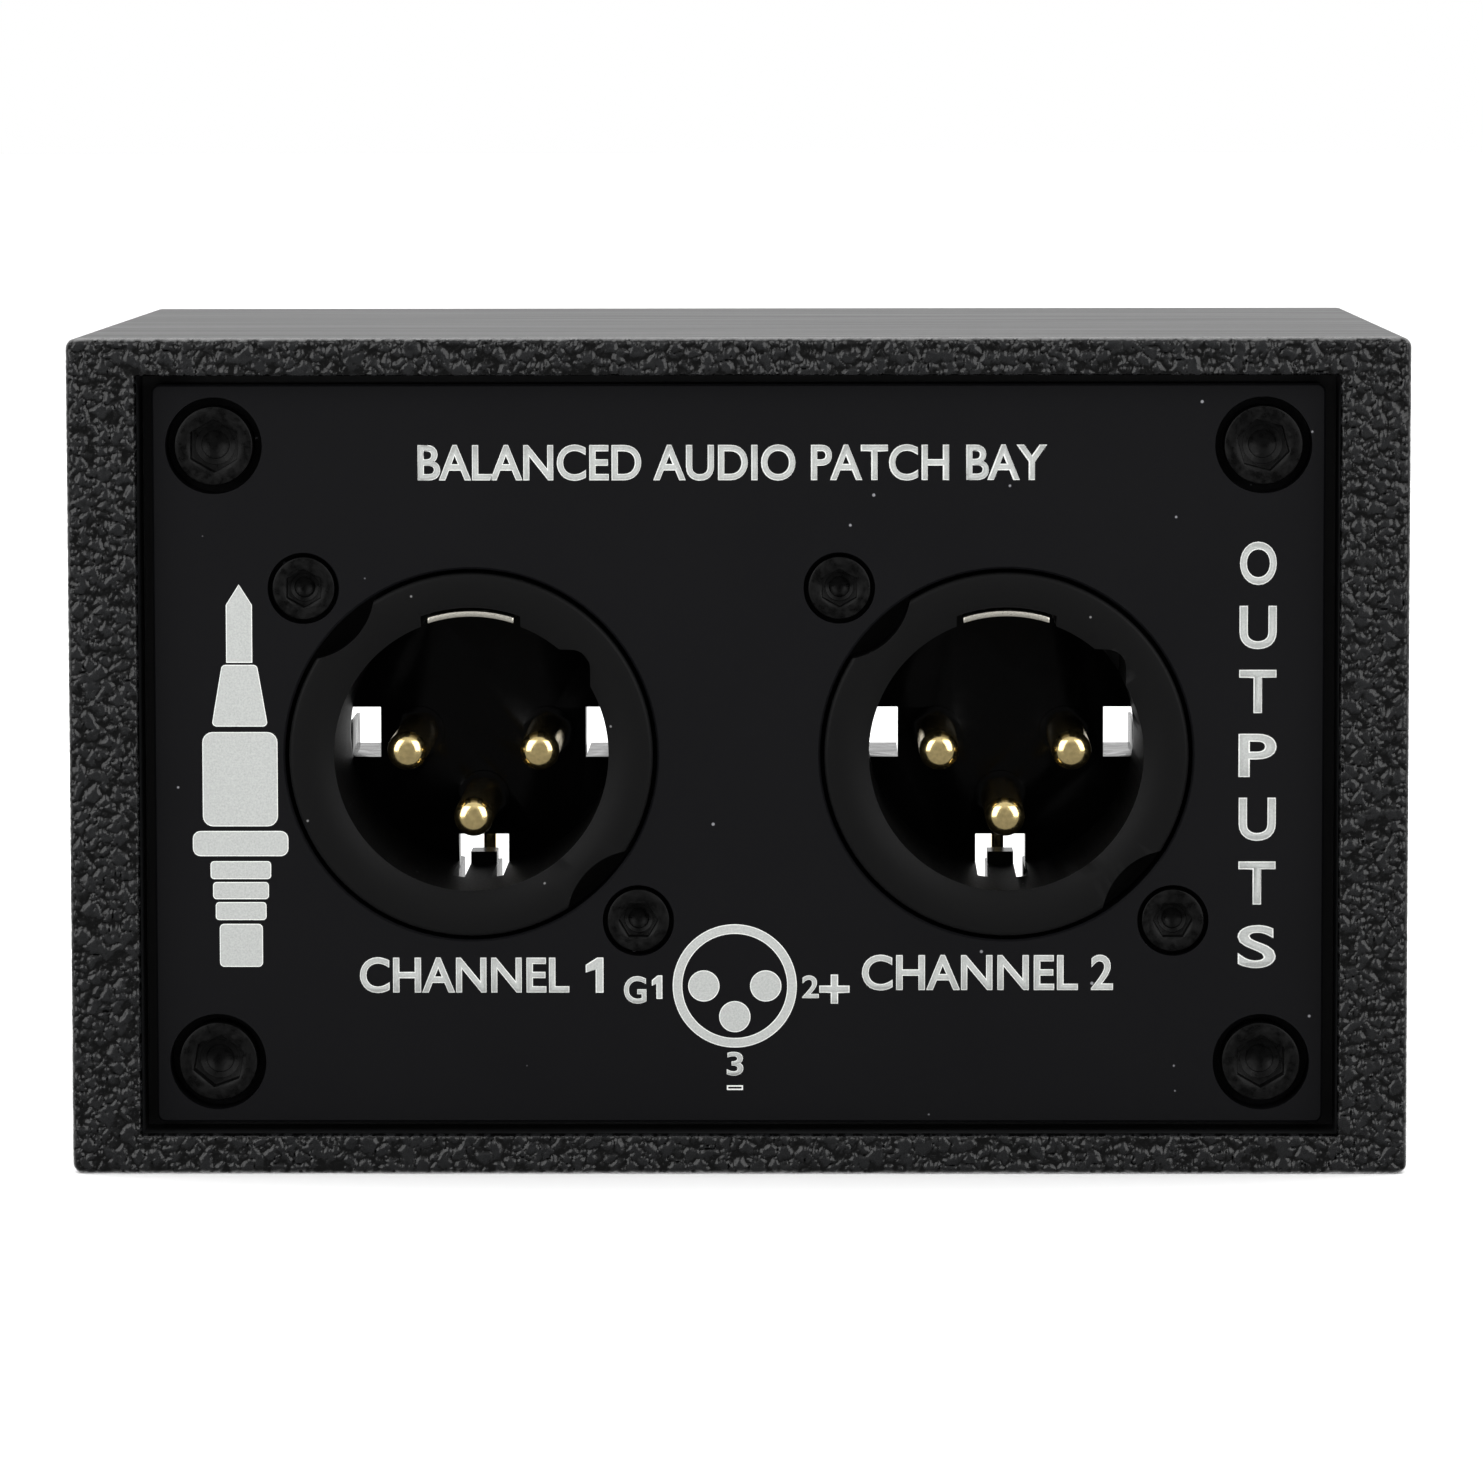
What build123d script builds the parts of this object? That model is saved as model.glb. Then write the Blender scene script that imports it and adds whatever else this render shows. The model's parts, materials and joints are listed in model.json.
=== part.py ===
"""Two-channel balanced audio patch bay: a deep black box, open at the back, with a
screwed-in front panel that carries two three-pin male sockets."""

import os

from build123d import *

# All sizes are in millimetres. +X is to the right seen from the front, +Z is up, and the
# front faces -Y. The origin is the middle of the base. A depth is measured backwards from
# the front rim, and a height is measured up from the base.

# Housing
HOUSING_WIDTH = 79.2
HOUSING_DEPTH = 57.0
HOUSING_HEIGHT = 49.6
HOUSING_CORNER_R = 0.6
HOUSING_RIM_FILLET = 0.4
POCKET_WIDTH = 71.0
POCKET_HEIGHT = 45.1
POCKET_CORNER_R = 0.7
MIDDLE_HEIGHT = 24.85
LEDGE_WIDTH = 2.8
LEDGE_HEIGHT = 2.35
BOSS_R = 4.0
BOSS_LENGTH = 11.0
BOSS_CONE_LENGTH = 3.0

# Front panel
PANEL_RECESS = 1.75
PANEL_WIDTH = 69.4
PANEL_HEIGHT = 43.95
PANEL_THICKNESS = 3.2
PANEL_CORNER_R = 0.5
PANEL_EDGE_CHAMFER = 0.12
PANEL_BACK = PANEL_RECESS + PANEL_THICKNESS
SOCKET_PITCH = 31.75
SOCKET_HOLE_R = 11.05
HEAD_SINK = 0.1

# Panel screws and the thread inserts they turn into
PANEL_SCREW_PITCH_X = 62.07
PANEL_SCREW_PITCH_Z = 36.71
PANEL_SCREW_R = 1.42
PANEL_SCREW_LENGTH = 9.5
PANEL_SCREW_HEAD_R = 2.32
PANEL_SCREW_HEAD_HEIGHT = 2.2
PANEL_SCREW_HEX = 2.75
PANEL_SCREW_HEX_TURNS = (80, 90, 90, 105)
PANEL_COUNTERBORE_R = 2.87
PANEL_SCREW_HOLE_R = 1.6
INSERT_R = 2.4
INSERT_GROOVE_R = 2.15
INSERT_LENGTH = 5.7
INSERT_THREAD_R = 1.45

# Sockets
RING_R = 10.8
RING_PROUD = 0.3
RING_FACE = PANEL_RECESS - RING_PROUD
RING_EDGE_FILLET = 0.25
BORE_R = 8.15
LEAD_IN_WIDTH = 0.95
LEAD_IN_LENGTH = 0.5
FLANGE_SIZE = 26.0
FLANGE_CORNER_R = 3.0
FLANGE_THICKNESS = 2.4
FLANGE_BACK = PANEL_BACK + FLANGE_THICKNESS
BARREL_R = 10.0
BARREL_END = 24.9
SCALLOP_R = 4.24
KEYWAY_RIGHT = 7.08
KEYWAY_TOP = 6.25
KEYWAY_SIZE = 3.4
KEYWAY_CORNER_R = 1.1
KEYWAY_END = 12.0
GROUND_SLOT_WIDTH = 5.9
GROUND_SLOT_R = 8.75

# Contact carrier, in a wider bore behind a shoulder in the shell
CARRIER_FACE = 17.25
CARRIER_BORE_R = 8.65
CARRIER_R = 8.6
CARRIER_THICKNESS = 2.5
CARRIER_BACK = CARRIER_FACE + CARRIER_THICKNESS
CARRIER_NOTCH_BOTTOM = 7.7
CONTACT_COLLAR_R = 1.6
CONTACT_COLLAR_HEIGHT = 0.4
CONTACT_BOSS_R = 2.0
CONTACT_BOSS_END = 24.5
WINDOW_WIDTH = 3.07
WINDOW_INNER_R = 6.3
WINDOW_ANGLES = (180, 270, 0)
SNAP_TAB_ANGLE = 270
SNAP_TAB_WIDTH = 1.6
SNAP_TAB_INNER_R = 7.4
TONGUE_ROOT = 9.3
TONGUE_CUT_INNER_R = 8.0
TONGUE_CUT_OUTER_R = 10.6
SNAP_TOOTH_ANGLES = (135, 225, 315)
SNAP_TOOTH_WIDTH = 2.0
SNAP_TOOTH_INNER_R = 8.25
SNAP_TOOTH_LENGTH = 0.8
CHUTE_FLOOR = 0.35
CHUTE_WALL_FACE = 8.2
CHUTE_WALL_BACK = 8.4
CHUTE_WALL_TOP = 0.36
CHUTE_END = 27.0

# Contacts
CONTACT_CIRCLE_R = 3.96
CONTACT_R = 1.18
CONTACT_NECK_R = 0.98
CONTACT_BODY_R = 1.4
CONTACT_TIP = RING_FACE + 2.4
CONTACT_TIP_FILLET = 0.85
PRESS_GAP = 0.02
LEG_WIDTH = 0.75
LEG_THICKNESS = 0.8
LEG_FRONT = 25.1
LEG_DROP = 13.0
LEG_TIP_TAPER = 0.25
CONTACT_PLACES = {
    "ground_contact": (-CONTACT_CIRCLE_R, 0),
    "signal_contact": (CONTACT_CIRCLE_R, 0),
    "return_contact": (0, -CONTACT_CIRCLE_R),
}

# Ground plate, which rubs on the shell of the plug
GROUND_INNER_R = 8.2
GROUND_THICKNESS = 0.33
GROUND_WIDTH = 5.1
GROUND_FRONT = RING_FACE + 0.45
GROUND_BACK = 25.5
GROUND_TAIL_WIDTH = 2.2
GROUND_TAIL_END = 29.5
GROUND_TAIL_HOLE_R = 0.6

# Socket screws, washers and nuts
SOCKET_SCREW_OFFSET = 9.9
SOCKET_SCREW_PLACES = (
    (-SOCKET_SCREW_OFFSET, SOCKET_SCREW_OFFSET),
    (SOCKET_SCREW_OFFSET, -SOCKET_SCREW_OFFSET),
)
SOCKET_SCREW_R = 1.22
SOCKET_SCREW_HOLE_R = 1.3
SOCKET_SCREW_LENGTH = 8.0
SOCKET_SCREW_HEAD_R = 1.85
SOCKET_SCREW_HEAD_HEIGHT = 1.8
SOCKET_SCREW_HEX = 2.0
SOCKET_SCREW_HEX_TURNS = (90, 60)
SOCKET_COUNTERBORE_R = 2.12
WASHER_R = 2.9
WASHER_THICKNESS = 0.5
NUT_HEX = 5.0
NUT_THICKNESS = 2.0
THREAD_FIT = 0.03

HEX_DEPTH_SHARE = 0.6
HEAD_EDGE_CHAMFER = 0.12
CUT_PAST = 1.0

SOCKET_X = (-SOCKET_PITCH / 2, SOCKET_PITCH / 2)
PANEL_SCREW_PLACES = [
    (x, MIDDLE_HEIGHT + z)
    for x in (-PANEL_SCREW_PITCH_X / 2, PANEL_SCREW_PITCH_X / 2)
    for z in (-PANEL_SCREW_PITCH_Z / 2, PANEL_SCREW_PITCH_Z / 2)
]


def at_depth(depth):
    """The upright plane at this depth, seen from the front. Negative extrusions go backwards."""
    return Plane.XZ.offset(HOUSING_DEPTH / 2 - depth)


def beside(centre_x, places):
    """Places around one socket's centre, as points on an at_depth plane."""
    return [(centre_x + x, MIDDLE_HEIGHT + z) for x, z in places]


os.makedirs("parts", exist_ok=True)

# The housing is one sleeve: a pocket for the panel, a ledge behind it, and an open cavity
# with four bosses that hold the thread inserts.
with BuildPart() as housing:
    with BuildSketch(at_depth(0)):
        with Locations((0, HOUSING_HEIGHT / 2)):
            RectangleRounded(HOUSING_WIDTH, HOUSING_HEIGHT, HOUSING_CORNER_R)
    extrude(amount=-HOUSING_DEPTH)
    outer_rims = housing.faces().filter_by(Axis.Y).edges()
    fillet(outer_rims, HOUSING_RIM_FILLET)
    with BuildSketch(at_depth(0)):
        with Locations((0, MIDDLE_HEIGHT)):
            RectangleRounded(POCKET_WIDTH, POCKET_HEIGHT, POCKET_CORNER_R)
    extrude(amount=-PANEL_BACK, mode=Mode.SUBTRACT)
    with BuildSketch(at_depth(PANEL_BACK)):
        with Locations((0, MIDDLE_HEIGHT)):
            RectangleRounded(
                POCKET_WIDTH - 2 * LEDGE_WIDTH, POCKET_HEIGHT - 2 * LEDGE_HEIGHT, POCKET_CORNER_R
            )
    extrude(amount=-(HOUSING_DEPTH - PANEL_BACK), mode=Mode.SUBTRACT)
    with BuildSketch(at_depth(PANEL_BACK)):
        with Locations(*PANEL_SCREW_PLACES):
            Circle(BOSS_R)
    extrude(amount=-BOSS_LENGTH)
    for boss_x, boss_z in PANEL_SCREW_PLACES:
        with BuildSketch(at_depth(PANEL_BACK + BOSS_LENGTH)):
            with Locations((boss_x, boss_z)):
                Circle(BOSS_R)
        with BuildSketch(at_depth(PANEL_BACK + BOSS_LENGTH + BOSS_CONE_LENGTH)):
            with Locations((boss_x, boss_z)):
                Circle(BOSS_R - BOSS_CONE_LENGTH)
        loft()
    with BuildSketch(at_depth(PANEL_BACK)):
        with Locations(*PANEL_SCREW_PLACES):
            Circle(INSERT_R + PRESS_GAP)
    extrude(amount=-(INSERT_LENGTH + PRESS_GAP), mode=Mode.SUBTRACT)
    with BuildSketch(at_depth(PANEL_BACK)):
        with Locations(*PANEL_SCREW_PLACES):
            Circle(PANEL_SCREW_HOLE_R)
    extrude(amount=-BOSS_LENGTH, mode=Mode.SUBTRACT)
housing.part.label = "housing"
export_step(housing.part, "parts/housing.step")

# Four brass inserts, pressed into the bosses, each with a grip groove round its middle.
with BuildPart() as panel_inserts:
    with BuildSketch(at_depth(PANEL_BACK)):
        with Locations(*PANEL_SCREW_PLACES):
            Circle(INSERT_R)
            Circle(INSERT_THREAD_R, mode=Mode.SUBTRACT)
    extrude(amount=-INSERT_LENGTH)
    with BuildSketch(at_depth(PANEL_BACK + INSERT_LENGTH / 3)):
        with Locations(*PANEL_SCREW_PLACES):
            Circle(INSERT_R + CUT_PAST)
            Circle(INSERT_GROOVE_R, mode=Mode.SUBTRACT)
    extrude(amount=-INSERT_LENGTH / 4, mode=Mode.SUBTRACT)
panel_inserts.part.label = "panel_inserts"
export_step(panel_inserts.part, "parts/panel_inserts.step")

with BuildPart() as front_panel:
    with BuildSketch(at_depth(PANEL_RECESS)):
        with Locations((0, MIDDLE_HEIGHT)):
            RectangleRounded(PANEL_WIDTH, PANEL_HEIGHT, PANEL_CORNER_R)
        for socket_x in SOCKET_X:
            with Locations((socket_x, MIDDLE_HEIGHT)):
                Circle(SOCKET_HOLE_R, mode=Mode.SUBTRACT)
    extrude(amount=-PANEL_THICKNESS)
    chamfer(front_panel.faces().sort_by(Axis.Y)[0].edges(), PANEL_EDGE_CHAMFER)
    with Locations(at_depth(PANEL_RECESS)):
        with Locations(*PANEL_SCREW_PLACES):
            CounterBoreHole(
                radius=PANEL_SCREW_HOLE_R,
                counter_bore_radius=PANEL_COUNTERBORE_R,
                counter_bore_depth=HEAD_SINK + PANEL_SCREW_HEAD_HEIGHT,
                depth=PANEL_THICKNESS,
            )
        for socket_x in SOCKET_X:
            with Locations(*beside(socket_x, SOCKET_SCREW_PLACES)):
                CounterBoreHole(
                    radius=SOCKET_SCREW_HOLE_R,
                    counter_bore_radius=SOCKET_COUNTERBORE_R,
                    counter_bore_depth=HEAD_SINK + SOCKET_SCREW_HEAD_HEIGHT,
                    depth=PANEL_THICKNESS,
                )
front_panel.part.label = "front_panel"
export_step(front_panel.part, "parts/front_panel.step")

# Four socket-head screws, each left with its hexagon turned its own way.
with BuildPart() as panel_screws:
    head_top = PANEL_RECESS + HEAD_SINK
    with BuildSketch(at_depth(head_top)):
        with Locations(*PANEL_SCREW_PLACES):
            Circle(PANEL_SCREW_HEAD_R)
    extrude(amount=-PANEL_SCREW_HEAD_HEIGHT)
    chamfer(panel_screws.faces().group_by(Axis.Y)[0].edges(), HEAD_EDGE_CHAMFER)
    with BuildSketch(at_depth(head_top + PANEL_SCREW_HEAD_HEIGHT)):
        with Locations(*PANEL_SCREW_PLACES):
            Circle(PANEL_SCREW_R)
    extrude(amount=-PANEL_SCREW_LENGTH)
    chamfer(panel_screws.faces().group_by(Axis.Y)[-1].edges(), HEAD_EDGE_CHAMFER)
    with BuildSketch(at_depth(head_top)):
        for place, turn in zip(PANEL_SCREW_PLACES, PANEL_SCREW_HEX_TURNS):
            with Locations(place):
                RegularPolygon(PANEL_SCREW_HEX / 2, 6, major_radius=False, rotation=turn)
    extrude(amount=-PANEL_SCREW_HEAD_HEIGHT * HEX_DEPTH_SHARE, mode=Mode.SUBTRACT)
panel_screws.part.label = "panel_screws"
export_step(panel_screws.part, "parts/panel_screws.step")

for channel, socket_x in enumerate(SOCKET_X, start=1):
    middle = (socket_x, MIDDLE_HEIGHT)
    screw_places = beside(socket_x, SOCKET_SCREW_PLACES)
    window_middle_r = (WINDOW_INNER_R + CARRIER_R + CUT_PAST) / 2
    window_reach = CARRIER_R + CUT_PAST - WINDOW_INNER_R
    tab_middle_r = (SNAP_TAB_INNER_R + CARRIER_BORE_R) / 2
    tab_reach = CARRIER_BORE_R - SNAP_TAB_INNER_R + PRESS_GAP
    tooth_middle_r = (SNAP_TOOTH_INNER_R + CARRIER_BORE_R) / 2
    tooth_reach = CARRIER_BORE_R - SNAP_TOOTH_INNER_R + PRESS_GAP

    # Shell: the ring that shows in the panel's hole, the flange behind the panel, and the
    # barrel. Two scallops in the ring leave room for the screw heads.
    with BuildPart() as shell:
        with BuildSketch(at_depth(RING_FACE)):
            with Locations(middle):
                Circle(RING_R)
            with Locations(*screw_places):
                Circle(SCALLOP_R, mode=Mode.SUBTRACT)
        extrude(amount=-(PANEL_BACK - RING_FACE))
        ring_edges = shell.faces().sort_by(Axis.Y)[0].edges()
        fillet(ring_edges, RING_EDGE_FILLET)
        with BuildSketch(at_depth(PANEL_BACK)):
            with Locations(middle):
                RectangleRounded(FLANGE_SIZE, FLANGE_SIZE, FLANGE_CORNER_R)
            with Locations(*screw_places):
                Circle(SOCKET_SCREW_HOLE_R, mode=Mode.SUBTRACT)
        extrude(amount=-FLANGE_THICKNESS)
        with BuildSketch(at_depth(FLANGE_BACK)):
            with Locations(middle):
                Circle(BARREL_R)
        extrude(amount=-(BARREL_END - FLANGE_BACK))
        with BuildSketch(at_depth(RING_FACE)):
            with Locations(middle):
                Circle(BORE_R)
        extrude(amount=-(BARREL_END - RING_FACE), mode=Mode.SUBTRACT)
        with BuildSketch(at_depth(RING_FACE)):
            with Locations(middle):
                Circle(BORE_R + LEAD_IN_WIDTH)
        with BuildSketch(at_depth(RING_FACE + LEAD_IN_LENGTH)):
            with Locations(middle):
                Circle(BORE_R)
        loft(mode=Mode.SUBTRACT)
        with BuildSketch(at_depth(CARRIER_FACE)):
            with Locations(middle):
                Circle(CARRIER_BORE_R)
        extrude(amount=-(BARREL_END - CARRIER_FACE), mode=Mode.SUBTRACT)
        # Keyway for the plug's key
        with BuildSketch(at_depth(RING_FACE)):
            with Locations(middle):
                with Locations((KEYWAY_RIGHT - KEYWAY_SIZE / 2, KEYWAY_TOP - KEYWAY_SIZE / 2)):
                    RectangleRounded(KEYWAY_SIZE, KEYWAY_SIZE, KEYWAY_CORNER_R)
        extrude(amount=-(KEYWAY_END - RING_FACE), mode=Mode.SUBTRACT)
        # Slot along the top of the bore for the ground plate
        with BuildSketch(at_depth(RING_FACE)):
            with Locations(middle):
                Circle(GROUND_SLOT_R)
                with Locations((0, GROUND_SLOT_R)):
                    Rectangle(GROUND_SLOT_WIDTH, GROUND_SLOT_R, mode=Mode.INTERSECT)
        extrude(amount=-(BARREL_END - RING_FACE), mode=Mode.SUBTRACT)
        # Two cuts in the floor of the bore, which leave a springy tongue between them
        cut_middle_r = (TONGUE_CUT_INNER_R + TONGUE_CUT_OUTER_R) / 2
        cut_reach = TONGUE_CUT_OUTER_R - TONGUE_CUT_INNER_R
        with BuildSketch(at_depth(TONGUE_ROOT)):
            with Locations(middle):
                with PolarLocations(cut_middle_r, 1, SNAP_TAB_ANGLE):
                    Rectangle(cut_reach, WINDOW_WIDTH)
                    Rectangle(cut_reach, SNAP_TAB_WIDTH, mode=Mode.SUBTRACT)
        extrude(amount=-(BARREL_END - TONGUE_ROOT), mode=Mode.SUBTRACT)
        # The tongue's tab, which stands in the carrier's lower window and stops it turning
        with BuildSketch(at_depth(CARRIER_FACE)):
            with Locations(middle):
                with PolarLocations(tab_middle_r, 1, SNAP_TAB_ANGLE):
                    Rectangle(tab_reach, SNAP_TAB_WIDTH)
        extrude(amount=-CARRIER_THICKNESS)
        # Teeth that the carrier snaps past, and that hold it from behind
        with BuildSketch(at_depth(CARRIER_BACK)):
            for angle in SNAP_TOOTH_ANGLES:
                with Locations(middle):
                    with PolarLocations(tooth_middle_r, 1, angle):
                        Rectangle(tooth_reach, SNAP_TOOTH_WIDTH)
        extrude(amount=-SNAP_TOOTH_LENGTH)
    shell.part.label = f"socket_{channel}_shell"
    export_step(shell.part, f"parts/socket_{channel}_shell.step")

    # Contact carrier: a disc with three windows at its edge, a low collar round each
    # contact, and a boss behind each contact.
    with BuildPart() as carrier:
        with BuildSketch(at_depth(CARRIER_FACE)):
            with Locations(middle):
                Circle(CARRIER_R)
                for angle in WINDOW_ANGLES:
                    with PolarLocations(window_middle_r, 1, angle):
                        Rectangle(window_reach, WINDOW_WIDTH, mode=Mode.SUBTRACT)
                with Locations((0, CARRIER_NOTCH_BOTTOM + CARRIER_R / 2)):
                    Rectangle(GROUND_SLOT_WIDTH, CARRIER_R, mode=Mode.SUBTRACT)
        extrude(amount=-CARRIER_THICKNESS)
        with BuildSketch(at_depth(CARRIER_FACE - CONTACT_COLLAR_HEIGHT)):
            with Locations(*beside(socket_x, CONTACT_PLACES.values())):
                Circle(CONTACT_COLLAR_R)
        extrude(amount=-CONTACT_COLLAR_HEIGHT)
        with BuildSketch(at_depth(CARRIER_BACK)):
            with Locations(*beside(socket_x, CONTACT_PLACES.values())):
                Circle(CONTACT_BOSS_R)
        extrude(amount=-(CONTACT_BOSS_END - CARRIER_BACK))
        # Stepped holes: the carrier is moulded round each contact's neck and body
        with BuildSketch(at_depth(CARRIER_FACE - CONTACT_COLLAR_HEIGHT)):
            with Locations(*beside(socket_x, CONTACT_PLACES.values())):
                Circle(CONTACT_NECK_R + PRESS_GAP)
        extrude(amount=-CONTACT_COLLAR_HEIGHT, mode=Mode.SUBTRACT)
        with BuildSketch(at_depth(CARRIER_FACE)):
            with Locations(*beside(socket_x, CONTACT_PLACES.values())):
                Circle(CONTACT_BODY_R + PRESS_GAP)
        extrude(amount=-(CONTACT_BOSS_END - CARRIER_FACE), mode=Mode.SUBTRACT)
        # Behind each side window, an open chute with a floor and a low outer wall
        with BuildSketch(at_depth(CARRIER_BACK)):
            for side in (-1, 1):
                window_bottom = MIDDLE_HEIGHT - WINDOW_WIDTH / 2
                floor_middle = (WINDOW_INNER_R + CHUTE_WALL_BACK) / 2
                with Locations((socket_x + side * floor_middle, window_bottom - CHUTE_FLOOR / 2)):
                    Rectangle(CHUTE_WALL_BACK - WINDOW_INNER_R, CHUTE_FLOOR)
                wall_middle = (CHUTE_WALL_FACE + CHUTE_WALL_BACK) / 2
                wall_height = CHUTE_WALL_TOP + WINDOW_WIDTH / 2
                with Locations((socket_x + side * wall_middle, window_bottom + wall_height / 2)):
                    Rectangle(CHUTE_WALL_BACK - CHUTE_WALL_FACE, wall_height)
        extrude(amount=-(CHUTE_END - CARRIER_BACK))
    carrier.part.label = f"socket_{channel}_contact_carrier"
    export_step(carrier.part, f"parts/socket_{channel}_contact_carrier.step")

    # Contacts: a round pin with a rounded tip, a neck that keys it into the carrier's collar,
    # a thicker body held by the carrier, and behind the carrier a leg bent down.
    for contact_name, (contact_x, contact_z) in CONTACT_PLACES.items():
        place = (socket_x + contact_x, MIDDLE_HEIGHT + contact_z)
        leg_bottom = MIDDLE_HEIGHT - LEG_DROP
        with BuildPart() as contact:
            with BuildSketch(at_depth(CONTACT_TIP)):
                with Locations(place):
                    Circle(CONTACT_R)
            extrude(amount=-(CARRIER_FACE - CONTACT_COLLAR_HEIGHT - CONTACT_TIP))
            fillet(contact.faces().sort_by(Axis.Y)[0].edges(), CONTACT_TIP_FILLET)
            with BuildSketch(at_depth(CARRIER_FACE - CONTACT_COLLAR_HEIGHT)):
                with Locations(place):
                    Circle(CONTACT_NECK_R)
            extrude(amount=-CONTACT_COLLAR_HEIGHT)
            with BuildSketch(at_depth(CARRIER_FACE)):
                with Locations(place):
                    Circle(CONTACT_BODY_R)
            extrude(amount=-(LEG_FRONT - CARRIER_FACE))
            leg_height = place[1] + CONTACT_R - leg_bottom
            with BuildSketch(at_depth(LEG_FRONT)):
                with Locations((place[0], leg_bottom + leg_height / 2)):
                    Rectangle(LEG_WIDTH, leg_height)
            extrude(amount=-LEG_THICKNESS)
            leg_tip = contact.faces().sort_by(Axis.Z)[0].edges().filter_by(Axis.Y)
            chamfer(leg_tip, LEG_TIP_TAPER)
        contact.part.label = f"socket_{channel}_{contact_name}"
        export_step(contact.part, f"parts/socket_{channel}_{contact_name}.step")

    # Ground plate: a strip curved like the bore, with a tail that has a wire hole.
    with BuildPart() as ground_plate:
        with BuildSketch(at_depth(GROUND_FRONT)):
            with Locations(middle):
                Circle(GROUND_INNER_R + GROUND_THICKNESS)
                Circle(GROUND_INNER_R, mode=Mode.SUBTRACT)
                with Locations((0, GROUND_SLOT_R)):
                    Rectangle(GROUND_WIDTH, GROUND_SLOT_R, mode=Mode.INTERSECT)
        extrude(amount=-(GROUND_BACK - GROUND_FRONT))
        with BuildSketch(at_depth(GROUND_BACK)):
            with Locations(middle):
                Circle(GROUND_INNER_R + GROUND_THICKNESS)
                Circle(GROUND_INNER_R, mode=Mode.SUBTRACT)
                with Locations((0, GROUND_SLOT_R)):
                    Rectangle(GROUND_TAIL_WIDTH, GROUND_SLOT_R, mode=Mode.INTERSECT)
        extrude(amount=-(GROUND_TAIL_END - GROUND_BACK))
        tail_hole_depth = GROUND_TAIL_END - GROUND_TAIL_WIDTH / 2
        with BuildSketch(Plane.XY.offset(MIDDLE_HEIGHT + GROUND_INNER_R - CUT_PAST)):
            with Locations((socket_x, tail_hole_depth - HOUSING_DEPTH / 2)):
                Circle(GROUND_TAIL_HOLE_R)
        extrude(amount=2 * CUT_PAST + GROUND_THICKNESS, mode=Mode.SUBTRACT)
    ground_plate.part.label = f"socket_{channel}_ground_plate"
    export_step(ground_plate.part, f"parts/socket_{channel}_ground_plate.step")

    # Two screws through the panel and the flange, each with a washer and a nut behind.
    with BuildPart() as socket_screws:
        head_top = PANEL_RECESS + HEAD_SINK
        with BuildSketch(at_depth(head_top)):
            with Locations(*screw_places):
                Circle(SOCKET_SCREW_HEAD_R)
        extrude(amount=-SOCKET_SCREW_HEAD_HEIGHT)
        chamfer(socket_screws.faces().group_by(Axis.Y)[0].edges(), HEAD_EDGE_CHAMFER)
        with BuildSketch(at_depth(head_top + SOCKET_SCREW_HEAD_HEIGHT)):
            with Locations(*screw_places):
                Circle(SOCKET_SCREW_R)
        extrude(amount=-SOCKET_SCREW_LENGTH)
        chamfer(socket_screws.faces().group_by(Axis.Y)[-1].edges(), HEAD_EDGE_CHAMFER)
        with BuildSketch(at_depth(head_top)):
            for place, turn in zip(screw_places, SOCKET_SCREW_HEX_TURNS):
                with Locations(place):
                    RegularPolygon(SOCKET_SCREW_HEX / 2, 6, major_radius=False, rotation=turn)
        extrude(amount=-SOCKET_SCREW_HEAD_HEIGHT * HEX_DEPTH_SHARE, mode=Mode.SUBTRACT)
    socket_screws.part.label = f"socket_{channel}_screws"
    export_step(socket_screws.part, f"parts/socket_{channel}_screws.step")

    with BuildPart() as washers:
        with BuildSketch(at_depth(FLANGE_BACK)):
            with Locations(*screw_places):
                Circle(WASHER_R)
                Circle(SOCKET_SCREW_HOLE_R, mode=Mode.SUBTRACT)
        extrude(amount=-WASHER_THICKNESS)
    washers.part.label = f"socket_{channel}_washers"
    export_step(washers.part, f"parts/socket_{channel}_washers.step")

    with BuildPart() as nuts:
        with BuildSketch(at_depth(FLANGE_BACK + WASHER_THICKNESS)):
            with Locations(*screw_places):
                RegularPolygon(NUT_HEX / 2, 6, major_radius=False)
                Circle(SOCKET_SCREW_R + THREAD_FIT, mode=Mode.SUBTRACT)
        extrude(amount=-NUT_THICKNESS)
        chamfer(nuts.faces().group_by(Axis.Y)[-1].edges().filter_by(GeomType.LINE), HEAD_EDGE_CHAMFER)
    nuts.part.label = f"socket_{channel}_nuts"
    export_step(nuts.part, f"parts/socket_{channel}_nuts.step")
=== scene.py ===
"""Finished model of a small two-channel audio patch bay, built round its design frame.

The printed housing, the marks on the front panel, the screws, the sockets and their
contacts are modelled here. The other parts keep their design shape and get a finish.
"""

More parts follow.
